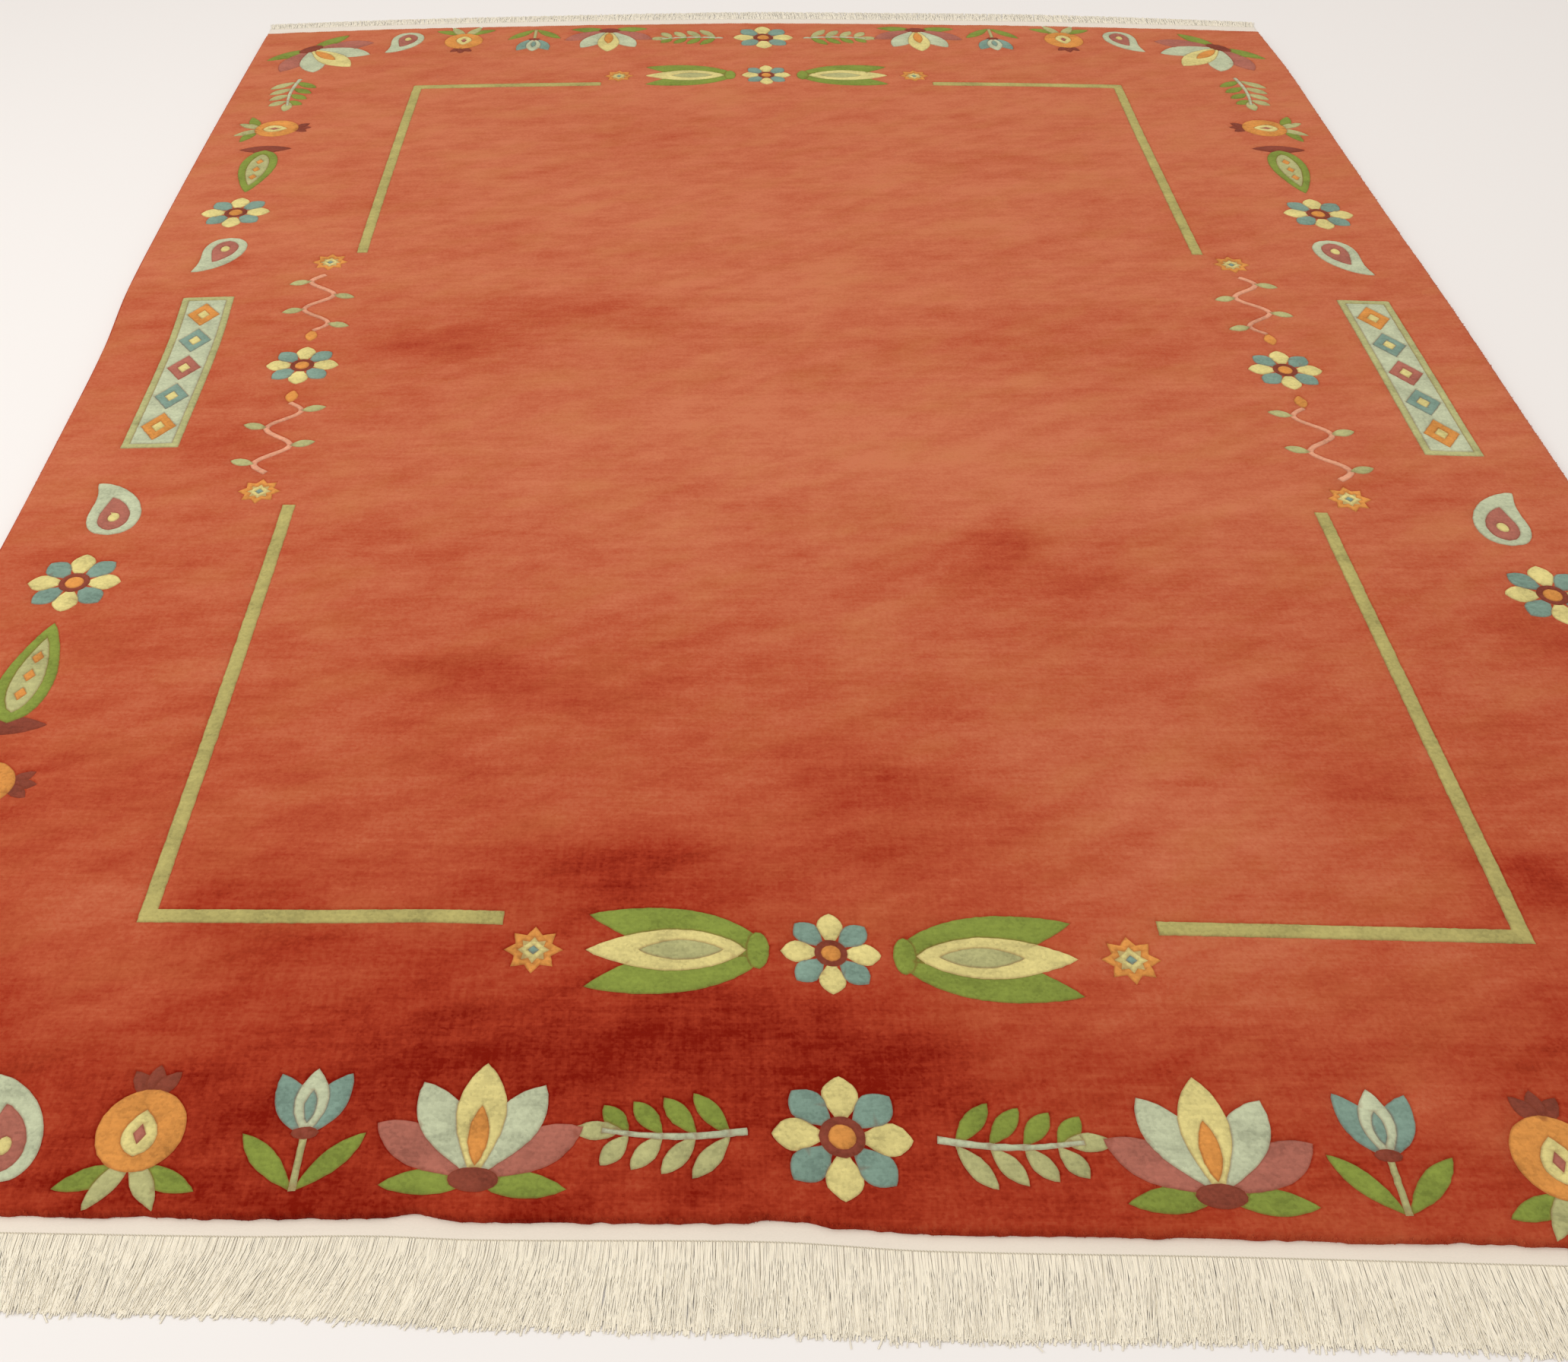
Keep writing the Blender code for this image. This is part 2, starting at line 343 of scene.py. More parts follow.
def number(name, text, count):
    """A number of yarns that a user may change."""
    return IntProperty(name=name, description=text, default=count, min=10)


class RugSizes(bpy.types.PropertyGroup):
    carving_width: size("Carving width", "Width of the groove clipped round each motif", 0.0050)
    carving_depth: size("Carving depth", "Depth of the groove clipped round each motif", 0.0018)
    knot_pitch: size("Knot pitch", "Distance between neighbouring knots", 0.0033)
    outline_step: size("Outline step", "Distance between a motif outline's points", 0.0060)
    pile_grid: size("Pile grid", "Distance between the plain field's points", 0.0170)
    tuft_pitch: size("Tuft pitch", "Distance between the tufts along the pile's edge", 0.0024)
    near_strands: number("Near strands", "Yarn ends in each layer of the near fringe", 4400)
    far_strands: number("Far strands", "Yarn ends in the far fringe", 3000)
    yarn_radius: size("Warp yarn radius", "Half the width of a warp yarn", 0.00068)


class RugColours(bpy.types.PropertyGroup):
    field: colour("Field", "#BA5536")
    # The field painted paler and darker: its painted shade and the dye's drifts pick between these
    field_light: colour("Field where it is palest", "#CF7854")
    field_deep: colour("Field where it is deeper", "#A63820")
    field_dark: colour("Field where it is darkest", "#801606")
    field_gold: colour("Field where the dye is yellower", "#C6854A")
    stripe: colour("Guard stripe", "#AFA565")
    leaf: colour("Leaf green", "#82903F")
    cream: colour("Cream", "#D8CA84")
    gold: colour("Gold", "#D58F48")
    teal: colour("Teal", "#7D9788")
    mist: colour("Grey green", "#BAC09F")
    khaki: colour("Khaki", "#B0AE78")
    mauve: colour("Mauve", "#AA6858")
    plum: colour("Plum", "#874434")
    pink: colour("Pink", "#DB9C7C")
    # Painted shadow in the carved lines, with the clipped yarn's deeper colour
    carving: colour("Carved lines", "#7E3A26")
    cotton: colour("Cotton warp", "#FFF6E0")
    web: colour("Cotton web", "#F1E6D5")
    twining: colour("Twining cord", "#CFC7AE")


def eased(table, place, column):
    """The value of a table's column at a place between its rows, on a smooth curve through them."""
    row = 1
    while row < len(table) - 1 and table[row][0] < place:
        row += 1
    before, after = table[row - 1], table[row]
    earlier, later = table[max(row - 2, 0)], table[min(row + 1, len(table) - 1)]
    span = after[0] - before[0]
    t = min(max((place - before[0]) / span, 0.0), 1.0)
    slope_in = (after[column] - earlier[column]) / (after[0] - earlier[0]) * span
    slope_out = (later[column] - before[column]) / (later[0] - before[0]) * span
    held = (2 * t**3 - 3 * t**2 + 1) * before[column] + (3 * t**2 - 2 * t**3) * after[column]
    return held + (t**3 - 2 * t**2 + t) * slope_in + (t**3 - t**2) * slope_out


def eased_all(table, places, column):
    """eased() for a whole array of places."""
    steps = np.linspace(table[0][0], table[-1][0], 600)
    return np.interp(places, steps, [eased(table, step, column) for step in steps])


def on_rug(points):
    """Where points of the true rectangle, measured from its middle, lie on the real rug."""
    across, along = points[:, 0] / HALF_WIDTH, points[:, 1] / HALF_LENGTH
    left, right = eased_all(SIDE_DRIFT, along, 1), eased_all(SIDE_DRIFT, along, 2)
    near, far = eased_all(END_DRIFT, across, 1), eased_all(END_DRIFT, across, 2)
    share = np.clip((1 + along) / 2, 0.0, 1.0)
    x = points[:, 0] - left * (1 - across) / 2 + right * (1 + across) / 2
    y = points[:, 1] - near * (1 - share) + far * share + MIDDLE_Y
    return np.column_stack([x, y])


def swell(points):
    """How far the pile stands over its usual height."""
    height = np.zeros(len(points))
    for at_x, at_y, reach, high in SWELLS:
        height += high * np.exp(-((points[:, 0] - at_x) ** 2 + (points[:, 1] - at_y) ** 2) / reach**2)
    return height


def rough(points, size_x, size_y, seed):
    """Smooth noise from -1 to 1 on patches of the given size."""
    offset = Vector((seed * 17.3, seed * 5.7, seed * 3.1))
    return np.array([noise.noise(Vector((x / size_x, y / size_y, 0.0)) + offset) for x, y in points])


def new_piece(name, mesh, nodes, materials=()):
    """Puts a finished mesh into the scene as a piece that stands for CAD nodes."""
    for material in materials:
        mesh.materials.append(material)
    piece = bpy.data.objects.new(name, mesh)
    bpy.context.scene.collection.objects.link(piece)
    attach(piece, "root")
    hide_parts(*nodes)


def add_node(tree, kind, inputs=None, **settings):
    """Adds a node, sets its properties, and fills its inputs with values, sockets or other nodes."""
    node = tree.nodes.new(kind)
    for name, value in settings.items():
        setattr(node, name, value)
    for key, value in (inputs or {}).items():
        if isinstance(value, bpy.types.Node):
            value = value.outputs[0]
        if isinstance(value, bpy.types.NodeSocket):
            tree.links.new(value, node.inputs[key])
        else:
            node.inputs[key].default_value = value
    return node


def weighed(tree, total, *pairs):
    """A value plus some others, each times its own weight."""
    for value, weight in pairs:
        total = add_node(tree, "ShaderNodeMath", {0: value, 1: weight, 2: total}, operation="MULTIPLY_ADD")
    return total


def dyed(tree, factor, stops):
    """The dye at a factor between (place, linear colour) stops."""
    node = add_node(tree, "ShaderNodeValToRGB", {"Fac": factor})
    elements = node.color_ramp.elements
    while len(elements) < len(stops):
        elements.new(0.5)
    for element, (place, dye) in zip(elements, stops):
        element.position = place
        element.color = (*dye, 1.0)
    return node


def new_material(name, roughness, sheen):
    """An empty Principled material: itself, its tree, and its place in Object coordinates."""
    material = bpy.data.materials.new(name)
    material.use_nodes = True
    tree = material.node_tree
    settings = {"Roughness": roughness, "Specular IOR Level": 0.04, "Sheen Weight": sheen}
    for key, value in settings.items():
        tree.nodes["Principled BSDF"].inputs[key].default_value = value
    return material, tree, add_node(tree, "ShaderNodeTexCoord").outputs["Object"]


def link_shader(tree, source, key):
    """Leads a node's first output or a socket into the shader."""
    socket = source.outputs[0] if isinstance(source, bpy.types.Node) else source
    tree.links.new(socket, tree.nodes["Principled BSDF"].inputs[key])


def emboss(tree, height, strength, distance):
    """Gives the shader the relief of a height."""
    bump = add_node(tree, "ShaderNodeBump", {"Height": height, "Strength": strength, "Distance": distance})
    link_shader(tree, bump, "Normal")


def tint(tree, share, colour, tone):
    """Gives the shader a colour with a share of another tone over it."""
    mixed = add_node(tree, "ShaderNodeMix", {0: share, 6: colour, 7: (*tone, 1.0)}, data_type="RGBA")
    link_shader(tree, mixed.outputs[2], "Base Color")


def grain(tree, place, size_x, size_y, detail, roughness=0.55, turn=0.0):
    """Noise whose grains have the given real size, turned anticlockwise by some degrees."""
    inputs = {"Vector": place, "Scale": (size_x, size_y, size_x), "Rotation": (0.0, 0.0, math.radians(turn))}
    sized = add_node(tree, "ShaderNodeMapping", inputs, vector_type="TEXTURE")
    inputs = {"Vector": sized, "Scale": 1.0, "Detail": detail, "Roughness": roughness}
    return add_node(tree, "ShaderNodeTexNoise", inputs).outputs["Fac"]


def drift(tree, place, *grain_sizes):
    """The same noise with its middle range spread from -0.5 to 0.5."""
    inputs = {0: grain(tree, place, *grain_sizes), 1: 0.3, 2: 0.7, 3: -0.5, 4: 0.5}
    return add_node(tree, "ShaderNodeMapRange", inputs)


def knots(tree, place, pitch):
    """The cut ends of the knots, one fuzzy cell each: tone from 0 to 1, and height."""
    fuzz = add_node(tree, "ShaderNodeTexNoise", {"Vector": place, "Scale": 1 / FIBRE_GRAIN, "Detail": 1.0})
    inputs = {0: fuzz.outputs["Color"], 1: (FIBRE_PUSH, FIBRE_PUSH, 0.0), 2: place}
    fuzzy = add_node(tree, "ShaderNodeVectorMath", inputs, operation="MULTIPLY_ADD")
    back = -FIBRE_PUSH / 2 / pitch
    inputs = {0: fuzzy, 1: (1 / pitch, 1 / pitch, 0.0), 2: (back, back, 0.0)}
    sized = add_node(tree, "ShaderNodeVectorMath", inputs, operation="MULTIPLY_ADD")
    settings = {"voronoi_dimensions": "2D", "feature": "SMOOTH_F1"}
    inputs = {"Vector": sized, "Scale": 1.0, "Randomness": 0.75, "Smoothness": 0.6}
    cells = add_node(tree, "ShaderNodeTexVoronoi", inputs, **settings)
    tone = add_node(tree, "ShaderNodeSeparateColor", {"Color": cells.outputs["Color"]})
    inputs = {0: cells.outputs["Distance"], 1: 0.1, 2: 0.7, 3: 1.0, 4: 0.0}
    return tone, add_node(tree, "ShaderNodeMapRange", inputs)


def cut_pile_wool(name, pitch):
    """Carded wool, hand-knotted and cut, without its colour. The eye sees a soft velvety face with hardly
    any gloss. Returns the material, its tree, its place, the knots' tone, the painted shade and the carving."""
    material, tree, place = new_material(name, roughness=0.97, sheen=0.02)
    tone, height = knots(tree, place, pitch)
    fibres = grain(tree, place, FIBRE_GRAIN, FIBRE_GRAIN, 2.0)
    lumps = grain(tree, place, 0.012, 0.009, 3.0)
    relief = weighed(tree, 0.0, (height, 0.00040), (fibres, 0.00045), (lumps, 0.0012))
    emboss(tree, relief, 0.8, 1.0)
    shade = add_node(tree, "ShaderNodeAttribute", attribute_name="shade").outputs["Fac"]
    carving = add_node(tree, "ShaderNodeAttribute", attribute_name="carving").outputs["Fac"]
    return material, tree, place, tone, shade, carving


def field_wool(colours, pitch):
    """The red wool of the field. The eye sees tones that run along the weft where a new batch of yarn
    begins, painted shade along the rug and where the pile was brushed another way, painted shadow in the
    carved lines, and a yellower or redder dye here and there."""
    material, tree, place, tone, shade, carving = cut_pile_wool("hand_knotted_wool_field", pitch)
    tones = [(drift(tree, place, *sizes), depth) for depth, *sizes in FIELD_TONES]
    combed = weighed(tree, 0.0, (drift(tree, place, 0.0060, 0.055, 2.0), shade))
    # shade is painted shade; carving adds painted shadow in the carved lines
    factor = weighed(tree, -0.07, (shade, 1.0), *tones, (combed, 0.12), (tone, 0.14), (carving, 0.16))
    stops = [(0.0, colours.field_light), (0.42, colours.field)]
    stops += [(0.72, colours.field_deep), (1.0, colours.field_dark)]
    spots = {0: grain(tree, place, 0.170, 0.080, 4.0, 0.6, BRUSHED_TURN), 1: 0.46, 2: 0.70, 3: 0.0, 4: 0.24}
    pale = add_node(tree, "ShaderNodeMapRange", {0: shade, 1: 0.2, 2: 0.8, 3: 1.0, 4: 0.0})
    yellow = weighed(tree, 0.0, (add_node(tree, "ShaderNodeMapRange", spots), pale))
    tint(tree, yellow, dyed(tree, factor, stops), colours.field_gold)
    return material


def border_wool(yarn, colours, pitch):
    """One dyed wool of the border. The eye sees the dye drift between a paler and a deeper tone from knot to
    knot, a little of the field's painted shade, and a red-brown painted shadow down in the carved lines
    round each figure, with the clipped yarn's deeper colour there."""
    material, tree, place, tone, shade, carving = cut_pile_wool(f"hand_knotted_wool_{yarn}", pitch)
    clouds, rows = drift(tree, place, 0.055, 0.040, 3.0), drift(tree, place, 0.030, 0.0040, 2.0)
    factor = weighed(tree, 0.20, (shade, 0.18), (clouds, 0.50), (rows, 0.16), (tone, 0.32))
    dye = tuple(getattr(colours, yarn))
    tones = dyed(tree, factor, [(0.0, deepened(dye, 1.30)), (0.5, dye), (1.0, deepened(dye, 0.62))])
    # Painted shadow in the carved lines, tinted with the clipped yarn's deeper colour
    groove = add_node(tree, "ShaderNodeMapRange", {0: carving, 1: 0.15, 2: 1.0, 3: 0.0, 4: 0.42})
    tint(tree, groove, tones, colours.carving)
    return material


def deepened(dye, factor):
    """A linear colour times a factor, within what can be shown."""
    return tuple(min(channel * factor, 1.0) for channel in dye)


def carpet_back_wool(colours, pitch):
    """The underside: the same wool packed flat round the warps. It looks like rows of small hard beads."""
    material, tree, place = new_material("packed_knot_back", roughness=0.85, sheen=0.05)
    tone, height = knots(tree, place, pitch)
    factor = weighed(tree, 0.25, (tone, 0.4), (drift(tree, place, 0.30, pitch, 1.0), 0.5))
    stops = [(0.0, colours.field_light), (0.5, colours.field), (1.0, colours.field_dark)]
    link_shader(tree, dyed(tree, factor, stops), "Base Color")
    emboss(tree, height, 0.6, 0.0006)
    return material


def spun_cotton(name, dye, grain_x, grain_y):
    """Undyed cotton yarn, spun and a little soiled. It is matt, with warmer and greyer stretches."""
    material, tree, place = new_material(name, roughness=0.88, sheen=0.4)
    soil, yarn = grain(tree, place, 0.16, 0.05, 3.0), grain(tree, place, grain_x, grain_y, 2.0)
    factor = weighed(tree, 0.0, (soil, 0.5), (yarn, 0.5))
    link_shader(tree, dyed(tree, factor, [(0.30, deepened(dye, 0.93)), (0.60, tuple(dye))]), "Base Color")
    emboss(tree, yarn, 0.4, 0.0006)
    return material


# The yarns of the pile, in the order of the pile's material slots
YARNS = ["field", "stripe", "leaf", "cream", "gold", "teal", "mist", "khaki", "mauve", "plum", "pink"]

# Plain shapes, drawn upwards from their foot or round their middle


def round_shape(radius_x, radius_y):
    angles = np.linspace(0, 2 * np.pi, 40, endpoint=False)
    return np.column_stack([radius_x * np.cos(angles), radius_y * np.sin(angles)])


def petal(length, width, fullest):
    """A petal or leaf from its foot to its tip. fullest is where it is widest."""
    share = np.linspace(0, 1, 20)
    half = width / 2 * np.sin(np.pi * share ** (math.log(0.5) / math.log(fullest))) ** 0.8
    right = np.column_stack([half, length * share])
    left = np.column_stack([-half, length * share])[-2:0:-1]
    return np.vstack([right, left])


def ribbon(path, half_widths):
    """A band along a path, with its own half width at each point."""
    side = np.column_stack([-1, 1]) * directions(np.gradient(path, axis=0))[:, ::-1] * half_widths[:, None]
    return np.vstack([path + side, (path - side)[::-1]])


def directions(steps):
    """The directions of some steps, one unit long."""
    return steps / np.maximum(np.linalg.norm(steps, axis=1), 1e-9)[:, None]


def box_shape(width, height):
    return np.array([(-1, -1), (1, -1), (1, 1), (-1, 1)]) * (width / 2, height / 2)


def diamond(width, height):
    return np.array([(0, -1), (1, 0), (0, 1), (-1, 0)]) * (width / 2, height / 2)


def turned(points, degrees, x=0.0, y=0.0):
    """Points turned anticlockwise and then moved."""
    angle = math.radians(degrees)
    spin = np.array([[math.cos(angle), math.sin(angle)], [-math.sin(angle), math.cos(angle)]])
    return points @ spin + np.array([x, y])


def drawn(*rows):
    """The (yarn, outline) pairs of rows of yarn, shape, its sizes, its turns, x and y."""
    outlines = []
    for yarn, shape, sizes, turns, x, y in rows:
        outlines += [(yarn, turned(shape(*sizes), turn, x, y)) for turn in turns]
    return outlines


# Motifs: each is a list of (yarn, outline), with later outlines over earlier ones, about one unit high


def rosette():
    """Eight petals in two colours round a button."""
    shapes = []
    for place in range(8):
        outline = turned(petal(0.42, 0.27, 0.62), 0, 0, 0.08)
        shapes.append((("cream", "teal")[place % 2], turned(outline, place * 45)))
    middle = ("plum", round_shape, (0.165, 0.165), (0,), 0, 0)
    return shapes + drawn(middle, ("gold", round_shape, (0.10, 0.10), (0,), 0, 0))


def lotus():
    return drawn(
        ("leaf", petal, (0.62, 0.20, 0.5), (-96, 96), 0, -0.40),
        ("mauve", petal, (0.80, 0.30, 0.6), (-60, 60), 0, -0.40),
        ("mist", petal, (0.84, 0.32, 0.6), (-30, 30), 0, -0.40),
        ("cream", petal, (0.92, 0.34, 0.58), (0,), 0, -0.42),
        ("gold", petal, (0.46, 0.14, 0.5), (0,), 0, -0.30),
        ("plum", round_shape, (0.17, 0.09), (0,), 0, -0.40),
    )


def pomegranate():
    return drawn(
        ("leaf", petal, (0.50, 0.17, 0.5), (-110, 110), 0, -0.30),
        ("khaki", petal, (0.46, 0.15, 0.5), (-150, 150), 0, -0.22),
        ("plum", petal, (0.26, 0.13, 0.5), (-38, 0, 38), 0, 0.24),
        ("gold", round_shape, (0.30, 0.32), (0,), 0, -0.02),
        ("cream", petal, (0.36, 0.24, 0.42), (0,), 0, -0.22),
        ("mauve", diamond, (0.09, 0.16), (0,), 0, -0.05),
    )


def tulip():
    """A three-petalled bloom on a short stem between two leaves."""
    return drawn(
        ("leaf", petal, (0.62, 0.17, 0.55), (-44, 44), 0, -0.50),
        ("khaki", box_shape, (0.052, 0.52), (0,), 0, -0.24),
        ("teal", petal, (0.56, 0.25, 0.48), (-27, 27), 0, -0.06),
        ("mist", petal, (0.54, 0.24, 0.5), (0,), 0, -0.06),
        ("teal", petal, (0.27, 0.09, 0.5), (0,), 0, 0.03),
        ("plum", round_shape, (0.10, 0.05), (0,), 0, -0.05),
    )


def spray():
    """A curved stem with four pairs of leaves and one at its tip."""
    shapes = []
    for pair in range(4):
        leaf, height = (0.36 - 0.035 * pair, 0.13, 0.55), 0.20 * pair - 0.40
        for yarn, turn in (("leaf", 52), ("khaki", -52)):
            shapes += drawn((yarn, petal, leaf, (turn,), 0.03, height))
    shapes += drawn(("khaki", petal, (0.30, 0.13, 0.5), (0,), 0, 0.24))
    stem = np.column_stack([0.04 * np.sin(np.linspace(0, math.pi, 16)), np.linspace(-0.5, 0.36, 16)])
    return shapes + [("mist", ribbon(stem, np.linspace(0.026, 0.016, 16)))]


def paisley():
    """A bent drop with a smaller one and an eye in it."""
    share = np.linspace(0, 1, 36)
    path = np.column_stack([0.30 * share**3 - 0.06, -0.46 + 0.92 * share - 0.06 * share**4])
    shapes = [("mist", ribbon(path, 0.25 * np.sin(np.pi * share**0.62) ** 0.75 + 0.004))]
    inner = 0.145 * np.sin(np.pi * np.linspace(0, 1, 22) ** 0.7) ** 0.8 + 0.003
    shapes.append(("mauve", ribbon(path[3:25], inner)))
    return shapes + drawn(("cream", round_shape, (0.055, 0.075), (0,), *path[11]))


def fret_bar():
    """A bar about six times as long as it is wide, with a row of lozenges. It is one unit long."""
    shapes = [("khaki", box_shape(0.185, 1.0)), ("mist", box_shape(0.135, 0.95))]
    for place, yarn in enumerate(("gold", "teal", "mauve", "teal", "gold")):
        height = (place - 2) * 0.186
        lozenge = (yarn, diamond, (0.115, 0.165), (0,), 0, height)
        shapes += drawn(lozenge, ("cream", diamond, (0.045, 0.065), (0,), 0, height))
    return shapes


def cypress():
    """A slender tree on a little mound."""
    return drawn(
        ("plum", petal, (0.50, 0.16, 0.5), (-90,), -0.25, -0.44),
        ("leaf", petal, (0.94, 0.34, 0.36), (0,), 0, -0.42),
        ("khaki", petal, (0.70, 0.19, 0.40), (0,), 0, -0.33),
        *(("gold", diamond, (0.075, 0.12), (0,), 0, height) for height in (-0.16, 0.01, 0.18)),
    )


def star():
    """An eight-pointed star."""
    angles = np.arange(16) * math.pi / 8
    reach = np.where(np.arange(16) % 2, 0.34, 0.5)
    points = np.column_stack([reach * np.cos(angles), reach * np.sin(angles)])
    return [("gold", points), ("cream", points * 0.55), ("teal", diamond(0.20, 0.20))]


def bud():
    """A long closed bud in its green leaves."""
    return drawn(
        ("leaf", petal, (0.96, 0.30, 0.42), (-13,), 0.02, -0.48),
        ("leaf", petal, (0.96, 0.30, 0.42), (13,), -0.02, -0.48),
        ("cream", petal, (0.84, 0.27, 0.45), (0,), 0, -0.38),
        ("khaki", petal, (0.44, 0.13, 0.5), (0,), 0, -0.26),
        ("leaf", round_shape, (0.12, 0.06), (0,), 0, -0.44),
    )


def vine():
    """A thin waving stem with small leaves and a bud at its tip."""
    share = np.linspace(0, 1, 60)
    path = np.column_stack([0.10 * np.sin(4 * np.pi * share), -0.5 + 0.86 * share])
    shapes = [("pink", ribbon(path, np.linspace(0.022, 0.018, 60)))]
    for place, turn in ((7, -74), (22, 74), (37, -74), (52, 74)):
        shapes += drawn(("khaki", petal, (0.17, 0.085, 0.5), (turn,), *path[place]))
    return shapes + drawn(("gold", petal, (0.16, 0.09, 0.5), (0,), *path[-1]))


# One quarter of the border: the near right one. It is mirrored to the other three.
BORDER = [
    # motif, size, x, y, turn
    (rosette, 0.150, 0.000, -1.568, 0),
    (spray, 0.180, 0.190, -1.566, -90),
    (lotus, 0.158, 0.385, -1.562, 0),
    (tulip, 0.152, 0.570, -1.566, 0),
    (pomegranate, 0.158, 0.745, -1.568, 0),
    (paisley, 0.155, 0.893, -1.566, 0),
    (lotus, 0.190, 1.064, -1.488, 42),
    (spray, 0.190, 1.105, -1.255, 0),
    (pomegranate, 0.150, 1.100, -1.055, 90),
    (cypress, 0.230, 1.105, -0.840, 0),
    (rosette, 0.140, 1.105, -0.625, 0),
    (paisley, 0.165, 1.100, -0.430, 0),
    (fret_bar, 0.520, 1.085, 0.000, 0),
    (rosette, 0.118, 0.000, -1.325, 0),
    (bud, 0.225, 0.185, -1.325, -90),
    (star, 0.070, 0.350, -1.325, 0),
    (rosette, 0.130, 0.875, 0.000, 0),
    (vine, 0.250, 0.875, -0.215, 0),
    (star, 0.070, 0.875, -0.392, 0),
]


def border_shapes():
    """Every outline on the pile, as (yarn number, points), in the order in which one lies over another."""
    outer = Vector((HALF_WIDTH - STRIPE_INSET_SIDE, STRIPE_INSET_END - HALF_LENGTH))
    inner = outer + Vector((-STRIPE_WIDTH, STRIPE_WIDTH))
    bracket = [(BREAK_END, outer.y), (outer.x, outer.y), (outer.x, -BREAK_SIDE)]
    bracket += [(inner.x, -BREAK_SIDE), (inner.x, inner.y), (BREAK_END, inner.y)]
    quarter = [("stripe", np.array(bracket), False, False)]
    for motif, scale, x, y, turn in BORDER:
        for yarn, outline in motif():
            quarter.append((yarn, turned(outline * scale, turn, x, y), x == 0.0, y == 0.0))
    shapes = []
    for mirror_x, mirror_y in ((1, 1), (1, -1), (-1, 1), (-1, -1)):
        for yarn, outline, on_middle, on_side_middle in quarter:
            if (on_middle and mirror_x < 0) or (on_side_middle and mirror_y < 0):
                continue
            points = outline * (mirror_x, mirror_y)
            shapes.append((YARNS.index(yarn), points if mirror_x == mirror_y else points[::-1]))
    return shapes


def evenly(points, step):
    """A closed outline with points at even steps, its corners kept."""
    before, after = points - np.roll(points, 1, 0), np.roll(points, -1, 0) - points
    cross = before[:, 0] * after[:, 1] - before[:, 1] * after[:, 0]
    bend = np.degrees(np.arctan2(np.abs(cross), (before * after).sum(1)))
    corners = np.flatnonzero(bend > CORNER_BEND)
    least = 1
    if len(corners) == 0:
        corners = np.array([0])
    if len(corners) == 1:
        least = 6
    out = []
    for corner, following in zip(corners, np.append(corners[1:], corners[0] + len(points))):
        stretch = points[np.arange(corner, following + 1) % len(points)]
        reach = np.append(0.0, np.cumsum(np.linalg.norm(np.diff(stretch, axis=0), axis=1)))
        marks = np.linspace(0, reach[-1], max(least, round(reach[-1] / step)), endpoint=False)
        out.append(np.column_stack([np.interp(marks, reach, stretch[:, axis]) for axis in (0, 1)]))
    return np.vstack(out)


def within(points, outline):
    """Which points lie inside a closed outline."""
    x0, y0 = outline.T
    x1, y1 = np.roll(outline, -1, 0).T
    rise = np.where(y1 == y0, 1e-12, y1 - y0)
    crossing = (y0[None] > points[:, 1, None]) != (y1[None] > points[:, 1, None])
    at = x0[None] + (points[:, 1, None] - y0[None]) / rise[None] * (x1 - x0)[None]
    return (crossing & (points[:, 0, None] < at)).sum(1) % 2 == 1


def numbers_within(points, outline):
    """The numbers of the points inside a closed outline."""
    near = np.flatnonzero(((points >= outline.min(0)) & (points <= outline.max(0))).all(1))
    return near[within(points[near], outline)]


def tree_of(points):
    """A search tree of flat points."""
    tree = KDTree(len(points))
    for place, (x, y) in enumerate(points):
        tree.insert((x, y, 0.0), place)
    tree.balance()
    return tree


def distances(tree, points):
    """How far each point is from the nearest one of a search tree."""
    return np.array([tree.find((x, y, 0.0))[2] for x, y in points])


def thinned(points, gap):
    """Points with no two in the same small cell."""
    cells = np.round(points / gap).astype(int)
    return points[np.unique(cells, axis=0, return_index=True)[1]]


def unsteady(outline):
    """An outline with small sideways steps, where it has to keep to whole knots."""
    steps = [rough(outline, KNOT_STEP_GRAIN, KNOT_STEP_GRAIN, seed) for seed in (40, 41)]
    return outline + KNOT_STEP * np.column_stack(steps)


def carved_lines(shapes, step):
    """The outlines that show: their points, the edges between them, and close-set marks along them."""
    outlines = [unsteady(evenly(points, step)) for _, points in shapes]
    hidden = [np.zeros(len(outline), bool) for outline in outlines]
    for lower, outline in enumerate(outlines):
        for upper in outlines[lower + 1 :]:
            hidden[lower][numbers_within(outline, upper)] = True
    edges, marks, normals, total = [], [], [], 0
    for outline, covered in zip(outlines, hidden):
        following = np.roll(np.arange(len(outline)), -1)
        shown = ~(covered & covered[following])
        edges += [(total + k, total + following[k]) for k in np.flatnonzero(shown)]
        for share in (0.0, 0.25, 0.5, 0.75):
            marks.append(outline[shown] * (1 - share) + outline[following[shown]] * share)
        ahead = directions(np.roll(outline, -1, 0) - np.roll(outline, 1, 0))
        normal = np.column_stack([ahead[:, 1], -ahead[:, 0]])
        normal[covered] = np.nan
        normals.append(normal)
        total += len(outline)
    return np.vstack(outlines), edges, np.vstack(marks), np.vstack(normals)


def pile_points(sizes, shapes):
    """The points and edges of the pile's face in the true rectangle, and a search tree of the carving."""
    width = sizes.carving_width / 2
    lines, edges, marks, normals = carved_lines(shapes, sizes.outline_step)
    tree = tree_of(marks)
    beside = np.vstack([lines + normals * width, lines - normals * width])
    beside = beside[~np.isnan(beside[:, 0])]
    beside = thinned(beside[distances(tree, beside) > width * 0.85], width * 0.8)
    halves = np.array([PILE_EDGE, HALF_LENGTH])
    steps = np.round(2 * halves / sizes.pile_grid).astype(int)
    across, along = (np.linspace(-half, half, count + 1)[1:-1] for half, count in zip(halves, steps))
    field = np.array([(x, y) for y in along for x in across])
    field = field[distances(tree, field) > width * 2.0]
    loops = [evenly(box_shape(*(2 * (halves - inset))), RIM_STEP) for inset in RIM_INSETS]
    rim = len(loops[0])
    edges = [(k, (k + 1) % rim) for k in range(rim)] + [(a + rim, b + rim) for a, b in edges]
    return np.vstack([loops[0], lines, beside, field, *loops[1:]]), edges, tree


